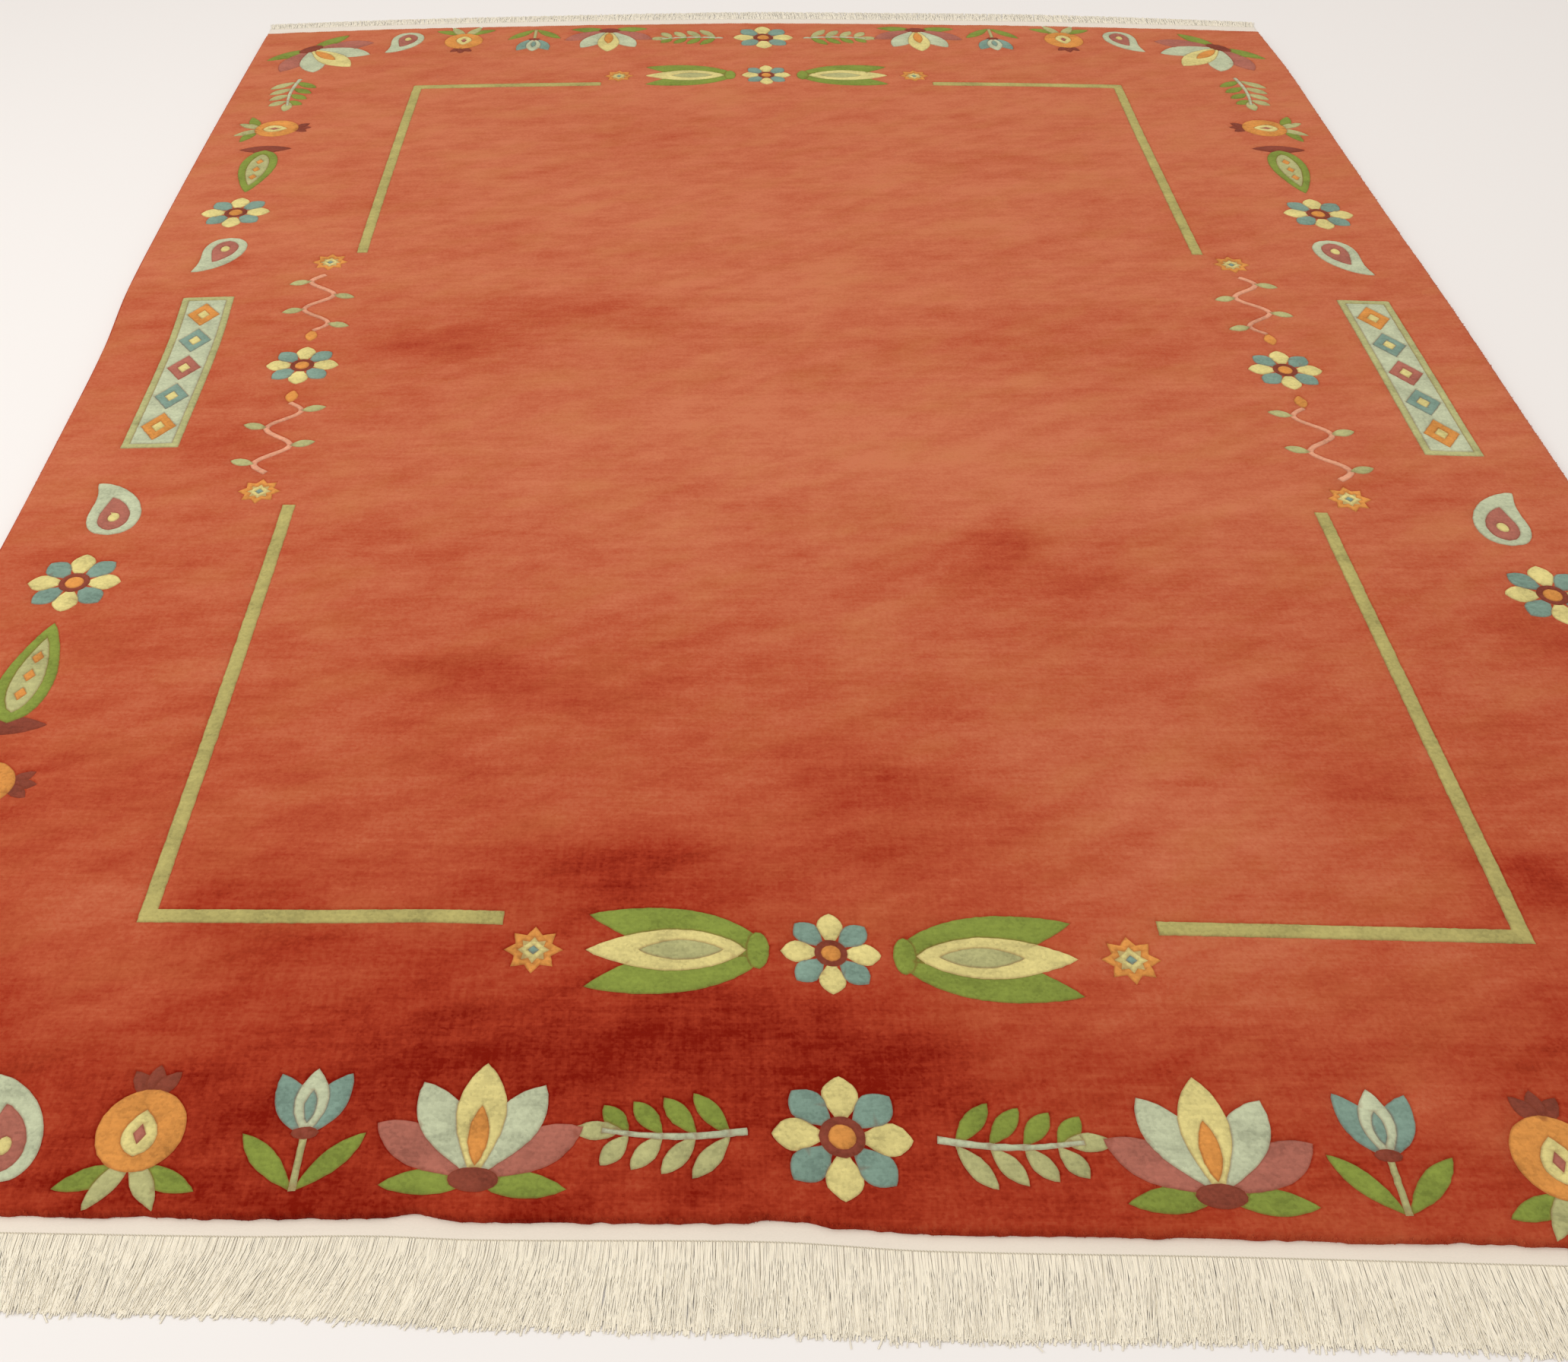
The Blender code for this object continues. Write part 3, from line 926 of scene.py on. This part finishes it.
def real_faces(points, faces):
    """The faces without the slivers whose corners all lie on one straight side."""
    on_side = np.abs(points) > np.array([PILE_EDGE, HALF_LENGTH]) - 1e-5
    return faces[~on_side[faces].all(1).any(1)]


def yarn_of_faces(centres, shapes):
    """The yarn number of each face by its centre."""
    yarns = np.zeros(len(centres), int)
    for yarn, outline in shapes:
        yarns[numbers_within(centres, outline)] = yarn
    return yarns


def edge_ripple(points):
    """Sideways shift of the clipped edge, where tufts stand out more or less, as offsets in x and y."""
    gaps = np.array([PILE_EDGE, HALF_LENGTH]) - np.abs(points)
    shift = np.zeros_like(points)
    for axis, reach in ((0, 0.0010), (1, 0.0022)):
        near = np.flatnonzero(gaps[:, axis] < RIPPLE_FADE)
        wave = rough(points[near], 0.013, 0.013, 3 + axis)
        wave += 0.7 * rough(points[near], 0.060, 0.060, 5 + axis)
        shift[near, axis] = reach * wave * (1 - gaps[near, axis] / RIPPLE_FADE)
    fading = np.where(points[:, 1] < 0, np.clip(1 - gaps[:, 1] / DENT_FADE, 0.0, 1.0), 0.0)
    for at_x, reach, depth in EDGE_DENTS:
        shift[:, 1] += depth * fading * np.exp(-(((points[:, 0] - at_x) / reach) ** 2))
    return shift


def pile_height(points, placed, carving, sizes):
    """Height of the pile's face: swells, small lumps, carving, and the rounded clipped edge."""
    inward = (np.array([PILE_EDGE, HALF_LENGTH]) - np.abs(points)).min(1)
    short = np.clip(1 - inward / SHOULDER_WIDTH, 0.0, 1.0) ** 2
    lumps = 0.00035 * rough(points, 0.045, 0.035, 1) + 0.00045 * rough(points, 0.22, 0.12, 2)
    height = PILE_HEIGHT + swell(placed) + lumps - carving * sizes.carving_depth
    return height - short * (PILE_HEIGHT - SHOULDER_HEIGHT)


def field_shade(placed):
    """How dark the field is painted at each point, from 0 to 1: painted shade along the rug and in the
    patches, with random clouds and streaks of tone.
    """
    shade = np.interp(placed[:, 1], *zip(*SHADE_ALONG))
    for at_x, at_y, reach_x, reach_y, dark in SHADE_PATCHES:
        far = ((placed[:, 0] - at_x) / reach_x) ** 2 + ((placed[:, 1] - at_y) / reach_y) ** 2
        shade += dark * np.exp(-far)
    clouds = 0.085 * rough(placed, 0.34, 0.13, 7) + 0.075 * rough(placed, 0.11, 0.05, 8)
    streaks = 0.060 * rough(placed, 0.60, 0.030, 9)
    return np.clip(shade + clouds + streaks, 0.0, 1.0)


def pile_mesh(sizes):
    """The whole knotted slab, closed: carved face, clipped edge and flat back."""
    shapes = border_shapes()
    points, edges, tree = pile_points(sizes, shapes)
    cut = delaunay_2d_cdt([Vector(point) for point in points], edges, [], 0, 1e-6, False)
    points = np.array([tuple(point) for point in cut[0]])
    faces = real_faces(points, np.array(cut[2]))
    placed = on_rug(points + edge_ripple(points))
    carving = np.clip(1 - distances(tree, points) / (sizes.carving_width / 2), 0.0, 1.0)
    height = pile_height(points, placed, carving, sizes)
    # shade holds the field's painted shade; carving also darkens the grooves as painted shadow
    layers = {"carving": carving, "shade": field_shade(placed)}
    mesh = points_mesh("pile", np.column_stack([placed, height]), layers, faces)
    mesh.polygons.foreach_set("material_index", yarn_of_faces(points[faces].mean(1), shapes))
    close_below(mesh, 1 + PILE_SLOPE / HALF_WIDTH, len(YARNS))
    return mesh


def points_mesh(name, points, layers, faces=()):
    """A mesh of points that hold values, with faces or loose."""
    mesh = bpy.data.meshes.new(name)
    mesh.from_pydata(points, [], faces)
    for key, values in layers.items():
        values = np.asarray(values, np.float32)
        layer = mesh.attributes.new(key, "FLOAT_VECTOR" if values.ndim == 2 else "FLOAT", "POINT")
        layer.data.foreach_set("vector" if values.ndim == 2 else "value", values.ravel())
    return mesh


def face_out(mesh, shape):
    """Turns a shape's faces outwards, and makes it the smoothed mesh."""
    bmesh.ops.recalc_face_normals(shape, faces=shape.faces)
    shape.to_mesh(mesh)
    shape.free()
    mesh.shade_smooth()


def close_below(mesh, flare=1.0, back_slot=0):
    """Draws the rim of a face down to the floor and closes it with a flat back."""
    shape = bmesh.new()
    shape.from_mesh(mesh)
    rim = [edge for edge in shape.edges if edge.is_boundary]
    drawn_down = bmesh.ops.extrude_edge_only(shape, edges=rim)["geom"]
    for part in drawn_down:
        if isinstance(part, bmesh.types.BMVert):
            part.co.z = 0.0
            part.co.xy *= flare
    foot = [part for part in drawn_down if isinstance(part, bmesh.types.BMEdge) and part.is_boundary]
    for part in bmesh.ops.contextual_create(shape, geom=foot)["faces"]:
        part.material_index = back_slot
    face_out(mesh, shape)


def grown(name, points, tree, values):
    """The plain mesh that a node tree makes from loose points."""
    base = bpy.data.objects.new(name + "_points", points)
    bpy.context.scene.collection.objects.link(base)
    modifier = base.modifiers.new("grow", "NODES")
    modifier.node_group = tree
    for item in tree.interface.items_tree:
        if item.name in values:
            modifier[item.identifier] = values[item.name]
    bpy.context.view_layer.update()
    evaluated = base.evaluated_get(bpy.context.evaluated_depsgraph_get())
    mesh = bpy.data.meshes.new_from_object(evaluated)
    mesh.name = name
    bpy.data.objects.remove(base)
    return mesh


def new_growth(name, *sizes):
    """An empty geometry tree with named inputs for its sizes and material: its tree and its inputs."""
    tree = bpy.data.node_groups.new(name, "GeometryNodeTree")
    sockets = [("Geometry", "Geometry"), *((key, "Float") for key in sizes), ("Material", "Material")]
    for key, kind in sockets:
        tree.interface.new_socket(key, in_out="INPUT", socket_type=f"NodeSocket{kind}")
    tree.interface.new_socket("Geometry", in_out="OUTPUT", socket_type="NodeSocketGeometry")
    return tree, tree.nodes.new("NodeGroupInput").outputs


def point_values(tree, *keys):
    """The numbers that a tree's points hold."""
    kind = "GeometryNodeInputNamedAttribute"
    nodes = [add_node(tree, kind, {"Name": key}, data_type="FLOAT") for key in keys]
    return {key: node.outputs["Attribute"] for key, node in zip(keys, nodes)}


def finish_growth(tree, geometry, source):
    """Realises a tree's instances, gives them their material, and ends it."""
    real = add_node(tree, "GeometryNodeRealizeInstances", {"Geometry": geometry})
    painted = add_node(tree, "GeometryNodeSetMaterial", {"Geometry": real, "Material": source["Material"]})
    add_node(tree, "NodeGroupOutput", {0: painted})
    return tree


def tuft_tree():
    """Short pointed wisps of pile yarn, each turned and sized by its point's own values."""
    tree, source = new_growth("edge_tufts", "Radius")
    inputs = {"Vertices": 4, "Radius Top": 0.0, "Radius Bottom": source["Radius"], "Depth": 1.0}
    wisp = add_node(tree, "GeometryNodeMeshCone", inputs, fill_type="NONE")
    aim = add_node(tree, "GeometryNodeInputNamedAttribute", {"Name": "aim"}, data_type="FLOAT_VECTOR")
    facing = add_node(tree, "FunctionNodeAlignRotationToVector", {"Vector": aim.outputs["Attribute"]})
    inputs = {"X": 1.0, "Y": 1.0, "Z": point_values(tree, "reach")["reach"]}
    long = add_node(tree, "ShaderNodeCombineXYZ", inputs)
    inputs = {"Points": source["Geometry"], "Instance": wisp, "Rotation": facing, "Scale": long}
    return finish_growth(tree, add_node(tree, "GeometryNodeInstanceOnPoints", inputs), source)


def tuft_points(pitch, spread):
    """Wisps along the clipped edge: places, directions and lengths."""
    places, aims, reaches = [], [], []
    for axis, end in ((1, -1), (1, 1), (0, -1), (0, 1)):
        half, edge = (PILE_EDGE, HALF_LENGTH) if axis == 1 else (HALF_LENGTH, PILE_EDGE)
        step, longest = (pitch, 0.0034) if axis == 1 else (pitch * 1.6, 0.0026)
        for height in TUFT_LEVELS:
            along = np.arange(-half, half, step)
            count = len(along)
            along = np.clip(along + spread.uniform(-step, step, count), -half, half)
            flat = np.full((count, 2), edge * end)
            flat[:, 1 - axis] = along
            place = on_rug(flat + edge_ripple(flat))
            aim = np.zeros((count, 3))
            aim[:, axis] = end
            aim[:, 1 - axis] = spread.normal(0, 0.35, count)
            aim[:, 2] = spread.normal(0.10, 0.30, count)
            place[:, axis] -= end * TUFT_ROOT
            places.append(np.column_stack([place, height + spread.normal(0, 0.0007, count)]))
            aims.append(aim)
            reaches.append(spread.uniform(0.0014, longest, count))
    return np.vstack(places), np.vstack(aims), np.concatenate(reaches)


def stitch_tree():
    """A row of short slanted stitches, one at each point."""
    tree, source = new_growth("twining", "Length")
    bead = add_node(tree, "GeometryNodeMeshUVSphere", {"Segments": 6, "Rings": 4, "Radius": 0.5})
    inputs = {0: (1.0, 0.34, 0.34), "Scale": source["Length"]}
    long = add_node(tree, "ShaderNodeVectorMath", inputs, operation="SCALE")
    turn = add_node(tree, "ShaderNodeCombineXYZ", {"Z": point_values(tree, "slant")["slant"]})
    slanted = add_node(tree, "FunctionNodeEulerToRotation", {"Euler": turn})
    inputs = {"Points": source["Geometry"], "Instance": bead, "Rotation": slanted, "Scale": long}
    stitches = add_node(tree, "GeometryNodeInstanceOnPoints", inputs)
    return finish_growth(tree, add_node(tree, "GeometryNodeSetShadeSmooth", {"Geometry": stitches}), source)


def strand_tree():
    """Fringe yarns: from each point a flat tapered strand that runs as YARN_RUN says."""
    tree, source = new_growth("fringe_strands", "Radius", "Heading", "Direction")
    line = add_node(tree, "GeometryNodeCurvePrimitiveLine", {"Start": (0, 0, 0), "End": (0, 1, 0)})
    steps = add_node(tree, "GeometryNodeResampleCurve", {"Curve": line, "Count": 6})
    inputs = {"Points": source["Geometry"], "Instance": steps}
    spread = add_node(tree, "GeometryNodeInstanceOnPoints", inputs)
    real = add_node(tree, "GeometryNodeRealizeInstances", {"Geometry": spread})
    values = point_values(tree, "length", "slope", "waves", "phase", "curl", "lift", "drop")
    values["share"] = add_node(tree, "GeometryNodeSplineParameter").outputs["Factor"]
    values |= {key: source[key] for key in ("Heading", "Direction")}
    for name, operation, *terms in YARN_RUN:
        inputs = {place: values.get(term, term) for place, term in enumerate(terms)}
        values[name] = add_node(tree, "ShaderNodeMath", inputs, operation=operation)
    inputs = {"X": values["across"], "Y": values["along"], "Z": values["height"]}
    shift = add_node(tree, "ShaderNodeCombineXYZ", inputs)
    moved = add_node(tree, "GeometryNodeSetPosition", {"Geometry": real, "Offset": shift})
    thin = add_node(tree, "ShaderNodeMapRange", {"Value": values["share"], "To Min": 1.0, "To Max": 0.62})
    tapered = add_node(tree, "GeometryNodeSetCurveRadius", {"Curve": moved, "Radius": thin})
    upright = add_node(tree, "GeometryNodeSetCurveNormal", {"Curve": tapered}, mode="Z_UP")
    inputs = {"Resolution": 3, "Radius": source["Radius"]}
    ring = add_node(tree, "GeometryNodeCurvePrimitiveCircle", inputs, mode="RADIUS")
    lying = {"Geometry": ring, "Scale": (0.34, 1.0, 1.0), "Rotation": (0, 0, -math.pi / 2)}
    section = add_node(tree, "GeometryNodeTransform", lying)
    inputs = {"Curve": upright, "Profile Curve": section, "Fill Caps": True}
    yarns = add_node(tree, "GeometryNodeCurveToMesh", inputs)
    return finish_growth(tree, add_node(tree, "GeometryNodeSetShadeSmooth", {"Geometry": yarns}), source)


def end_points(count, end, reach, jitter=0.0):
    """Points across the rug, a distance beyond the pile."""
    across = np.clip(np.linspace(-HALF_WIDTH, HALF_WIDTH, count) + jitter, -HALF_WIDTH, HALF_WIDTH)
    placed = on_rug(np.column_stack([across, np.full(count, end * HALF_LENGTH)]))
    placed[:, 1] += end * reach
    return placed, across / HALF_WIDTH


def strand_points(end, web, count, radius, level, spread):
    """Roots of a fringe's yarns with their lengths, slopes and curls."""
    root, place = end_points(count, end, web, spread.normal(0, ROOT_SCATTER, count))
    column = 1 if end < 0 else 3
    length = eased_all(FRINGE, place, column) * (1 + spread.normal(0, LENGTH_SCATTER, count))
    length += HEADING_WIDTH
    clump = rough(np.column_stack([place, np.zeros(count)]), CLUMP_WIDTH, 1.0, 20 + end)
    slope = eased_all(FRINGE, place, column + 1) + CLUMP_SLOPE * clump
    slope += spread.normal(0, SLOPE_SCATTER, count)
    stray = spread.random(count) < STRAY_SHARE
    length[stray] *= spread.uniform(*STRAY_LENGTH, stray.sum())
    slope[stray] += spread.normal(0, STRAY_SLOPE, stray.sum())
    root_level = level + spread.uniform(0, LAYER_THICK, count)
    values = {
        "length": length,
        "slope": slope,
        "waves": spread.uniform(*YARN_WAVES, count),
        "phase": spread.uniform(0, 6.28, count),
        "curl": spread.uniform(*YARN_CURL, count) * np.where(stray, STRAY_CURL, 1.0),
        "lift": level * spread.uniform(0.0, YARN_LIFT, count),
        "drop": (root_level - radius / 2) * spread.uniform(0.3, 1.0, count),
    }
    return points_mesh("roots", np.column_stack([root, root_level]), values)


def grid_faces(rows, columns, lanes):
    """The faces of a net of points, row by row. With as many lanes as columns it closes into a tube."""
    faces = []
    for low in range(0, (rows - 1) * columns, columns):
        for k in range(lanes):
            ahead = (k + 1) % columns
            faces.append((low + k, low + ahead, low + columns + ahead, low + columns + k))
    return faces


def woven_strip(name, end, start, stop, thick, rib):
    """A closed strip of plain weave across the rug: low ribs where each weft passes, thin at its edges."""
    rows = max(4, round((stop - start) / WEFT_PITCH))
    across, _ = end_points(STRIP_COLUMNS, end, 0.0)
    points = []
    for row, reach in enumerate(np.linspace(start, stop, rows)):
        height = thick * STRIP_EDGE if row in (0, rows - 1) else thick + rib * (1 if row % 2 else -1)
        wave = 0.00018 * rough(across, 0.05, 1.0, 30 + row % 5)
        points.append(np.column_stack([across[:, 0], across[:, 1] + end * reach, height + wave]))
    faces = grid_faces(rows, STRIP_COLUMNS, STRIP_COLUMNS - 1)
    mesh = points_mesh(name, np.vstack(points), {}, faces)
    close_below(mesh)
    return mesh


def overcast_cord(name, side):
    """The selvedge: a cord of outer warps wrapped in pile yarn, with a flat foot."""
    rings = round(PILE_LENGTH / WRAP_PITCH) * STEPS_PER_WRAP
    along = np.linspace(-HALF_LENGTH, HALF_LENGTH, rings)
    wrap = 2 * np.pi * np.arange(rings) / STEPS_PER_WRAP
    radius_x, radius_z = SELVEDGE_WIDTH * 0.62, SELVEDGE_HEIGHT / 2
    lines = []
    for angle in np.linspace(0, 2 * np.pi, CORD_SIDES, endpoint=False):
        bulge = 1 + 0.10 * np.cos(wrap + angle * 0.5)
        flat = np.column_stack([side * (HALF_WIDTH - radius_x + radius_x * math.cos(angle) * bulge), along])
        height = np.clip(radius_z + radius_z * math.sin(angle) * bulge, 0.0, None)
        lines.append(np.column_stack([on_rug(flat), height]))
    points = np.stack(lines, axis=1).reshape(-1, 3)
    faces = grid_faces(rings, CORD_SIDES, CORD_SIDES)
    faces += [tuple(range(CORD_SIDES))[::-1], tuple(range(len(points) - CORD_SIDES, len(points)))]
    # The selvedge wool takes a fixed painted shade
    mesh = points_mesh(name, points, {"shade": np.full(len(points), SELVEDGE_SHADE)}, faces)
    shape = bmesh.new()
    shape.from_mesh(mesh)
    face_out(mesh, shape)
    return mesh


class RUG_OT_pile(bpy.types.Operator):
    """Builds the knotted pile with its carved border"""

    bl_idname = "rug.pile"
    bl_label = "Pile"

    def execute(self, context):
        sizes, colours = context.scene.rug_sizes, context.scene.rug_colours
        pitch = sizes.knot_pitch
        materials = [field_wool(colours, pitch), *(border_wool(yarn, colours, pitch) for yarn in YARNS[1:])]
        materials.append(carpet_back_wool(colours, pitch))
        new_piece("pile", pile_mesh(sizes), ["woven_cloth"], materials)
        return {"FINISHED"}


class RUG_OT_edge_tufts(bpy.types.Operator):
    """Grows the wisps of yarn that stand out of the pile's clipped edge"""

    bl_idname = "rug.edge_tufts"
    bl_label = "Edge tufts"

    def execute(self, context):
        spread = np.random.default_rng(SEED)
        places, aims, reaches = tuft_points(context.scene.rug_sizes.tuft_pitch, spread)
        # The tufts take the field's painted shade where they stand
        layers = {"aim": aims, "reach": reaches, "shade": field_shade(places[:, :2])}
        values = {"Radius": TUFT_RADIUS, "Material": bpy.data.materials["hand_knotted_wool_field"]}
        mesh = grown("edge_tufts", points_mesh("tuft_roots", places, layers), tuft_tree(), values)
        new_piece("edge_tufts", mesh, ["woven_cloth"])
        return {"FINISHED"}


class RUG_OT_selvedges(bpy.types.Operator):
    """Builds the overcast cord along each long side"""

    bl_idname = "rug.selvedges"
    bl_label = "Selvedges"

    def execute(self, context):
        material = bpy.data.materials["hand_knotted_wool_field"]
        for name, side in (("selvedge_left", -1), ("selvedge_right", 1)):
            new_piece(name, overcast_cord(name, side), ["woven_cloth"], [material])
        return {"FINISHED"}


class RUG_OT_webs(bpy.types.Operator):
    """Builds the plain-woven web beyond the pile at each end, and the twined cord on its edge"""

    bl_idname = "rug.webs"
    bl_label = "Webs"

    def execute(self, context):
        colours = context.scene.rug_colours
        cotton = spun_cotton("woven_cotton_web", colours.web, 0.0030, 0.0012)
        cord = spun_cotton("twined_cotton_cord", colours.twining, 0.0030, 0.0030)
        twining = stitch_tree()
        for side, end, web in ENDS:
            strip = woven_strip(f"web_{side}", end, -WEB_TUCK, web, FOUNDATION, WEB_RIB)
            new_piece(f"web_{side}", strip, ["woven_cloth"], [cotton])
            placed, _ = end_points(STITCHES, end, web - 0.0008)
            places = np.column_stack([placed, np.full(STITCHES, FOUNDATION * 0.95)])
            points = points_mesh("stitches", places, {"slant": np.full(STITCHES, STITCH_SLANT * end)})
            mesh = grown(f"twining_{side}", points, twining, {"Length": STITCH_LENGTH, "Material": cord})
            new_piece(f"twining_{side}", mesh, ["woven_cloth"])
        return {"FINISHED"}


class RUG_OT_fringes(bpy.types.Operator):
    """Grows the fringe of warp yarns at each end"""

    bl_idname = "rug.fringes"
    bl_label = "Fringes"

    def execute(self, context):
        sizes, colours = context.scene.rug_sizes, context.scene.rug_colours
        cotton = spun_cotton("spun_cotton_fringe", colours.cotton, 0.0016, 0.020)
        tree = strand_tree()
        spread = np.random.default_rng(SEED + 1)
        for name, end, web, count, level, spun in FRINGE_LAYERS:
            radius = spun * sizes.yarn_radius
            roots = strand_points(end, web, getattr(sizes, count), radius, level, spread)
            values = {"Radius": radius, "Heading": HEADING_WIDTH, "Direction": float(end)}
            strands = grown(f"strands_{name}", roots, tree, {**values, "Material": cotton})
            new_piece(f"strands_{name}", strands, [f"fringe_{name.split('_')[0]}"])
        web_cotton = bpy.data.materials["woven_cotton_web"]
        for side, end, web in ENDS:
            strip = woven_strip(f"heading_{side}", end, web, web + HEADING_WIDTH, HEADING_THICK, HEADING_RIB)
            new_piece(f"heading_{side}", strip, [f"fringe_{side}"], [web_cotton])
        return {"FINISHED"}


class RUG_OT_stage(bpy.types.Operator):
    """Sets the pale floor, the soft light and the photograph's camera"""

    bl_idname = "rug.stage"
    bl_label = "Stage"

    def execute(self, context):
        material, tree, _ = new_material("painted_studio_floor", roughness=0.8, sheen=0.0)
        tree.nodes["Principled BSDF"].inputs["Base Color"].default_value = (*linear("#F4F0EC"), 1.0)
        floor_mesh = points_mesh("floor", [(x, y, 0) for x, y in box_shape(*FLOOR_SIZE)], {}, [(0, 1, 2, 3)])
        floor_mesh.materials.append(material)
        floor = bpy.data.objects.new("floor", floor_mesh)
        context.scene.collection.objects.link(floor)
        world = bpy.data.worlds.new("soft_daylight")
        world.use_nodes = True
        background = world.node_tree.nodes["Background"]
        background.inputs["Color"].default_value = (*linear("#FFFBF8"), 1.0)
        background.inputs["Strength"].default_value = SKY_STRENGTH
        context.scene.world = world
        for name, place, width, power in LAMPS:
            lamp = bpy.data.lights.new(name, "AREA")
            lamp.size = width
            lamp.energy = power
            holder = bpy.data.objects.new(name, lamp)
            holder.location = place
            holder.rotation_euler = (-Vector(place)).to_track_quat("-Z", "Y").to_euler()
            context.scene.collection.objects.link(holder)
        context.scene.camera = photo_camera(context)
        context.scene.view_settings.view_transform = "Standard"
        return {"FINISHED"}


def photo_camera(context):
    """The camera that took the photograph, found from the rug's own straight edges."""
    lens = bpy.data.cameras.new("photo_camera")
    lens.sensor_width = SENSOR_WIDTH
    lens.lens = SENSOR_WIDTH * FOCAL_PIXELS / PICTURE_WIDTH
    lens.shift_x = (PICTURE_WIDTH / 2 - AXIS_PIXEL) / PICTURE_WIDTH
    lens.clip_end = 60.0
    camera = bpy.data.objects.new("photo_camera", lens)
    aim = Matrix.Rotation(-CAMERA_TURN, 4, "Z") @ Matrix.Rotation(math.pi / 2 - CAMERA_DOWN, 4, "X")
    camera.matrix_world = Matrix.Translation(CAMERA_PLACE) @ aim @ Matrix.Rotation(CAMERA_ROLL, 4, "Z")
    context.scene.collection.objects.link(camera)
    return camera


class RUG_PT_panel(bpy.types.Panel):
    """Lists the rug's operators"""

    bl_idname = "RUG_PT_panel"
    bl_label = "Nepalese rug"
    bl_space_type = "VIEW_3D"
    bl_region_type = "UI"
    bl_category = "Rug"

    def draw(self, context):
        for step in STEPS:
            self.layout.operator(step.bl_idname)


STEPS = (RUG_OT_pile, RUG_OT_edge_tufts, RUG_OT_selvedges, RUG_OT_webs, RUG_OT_fringes, RUG_OT_stage)
CLASSES = (RugSizes, RugColours, *STEPS, RUG_PT_panel)


def register():
    for cls in CLASSES:
        bpy.utils.register_class(cls)
    bpy.types.Scene.rug_sizes = PointerProperty(type=RugSizes)
    bpy.types.Scene.rug_colours = PointerProperty(type=RugColours)


def unregister():
    del bpy.types.Scene.rug_colours
    del bpy.types.Scene.rug_sizes
    for cls in reversed(CLASSES):
        bpy.utils.unregister_class(cls)


def main():
    register()
    bpy.ops.rug.pile()
    bpy.ops.rug.edge_tufts()
    bpy.ops.rug.selvedges()
    bpy.ops.rug.webs()
    bpy.ops.rug.fringes()
    bpy.ops.rug.stage()


if __name__ == "__main__":
    main()
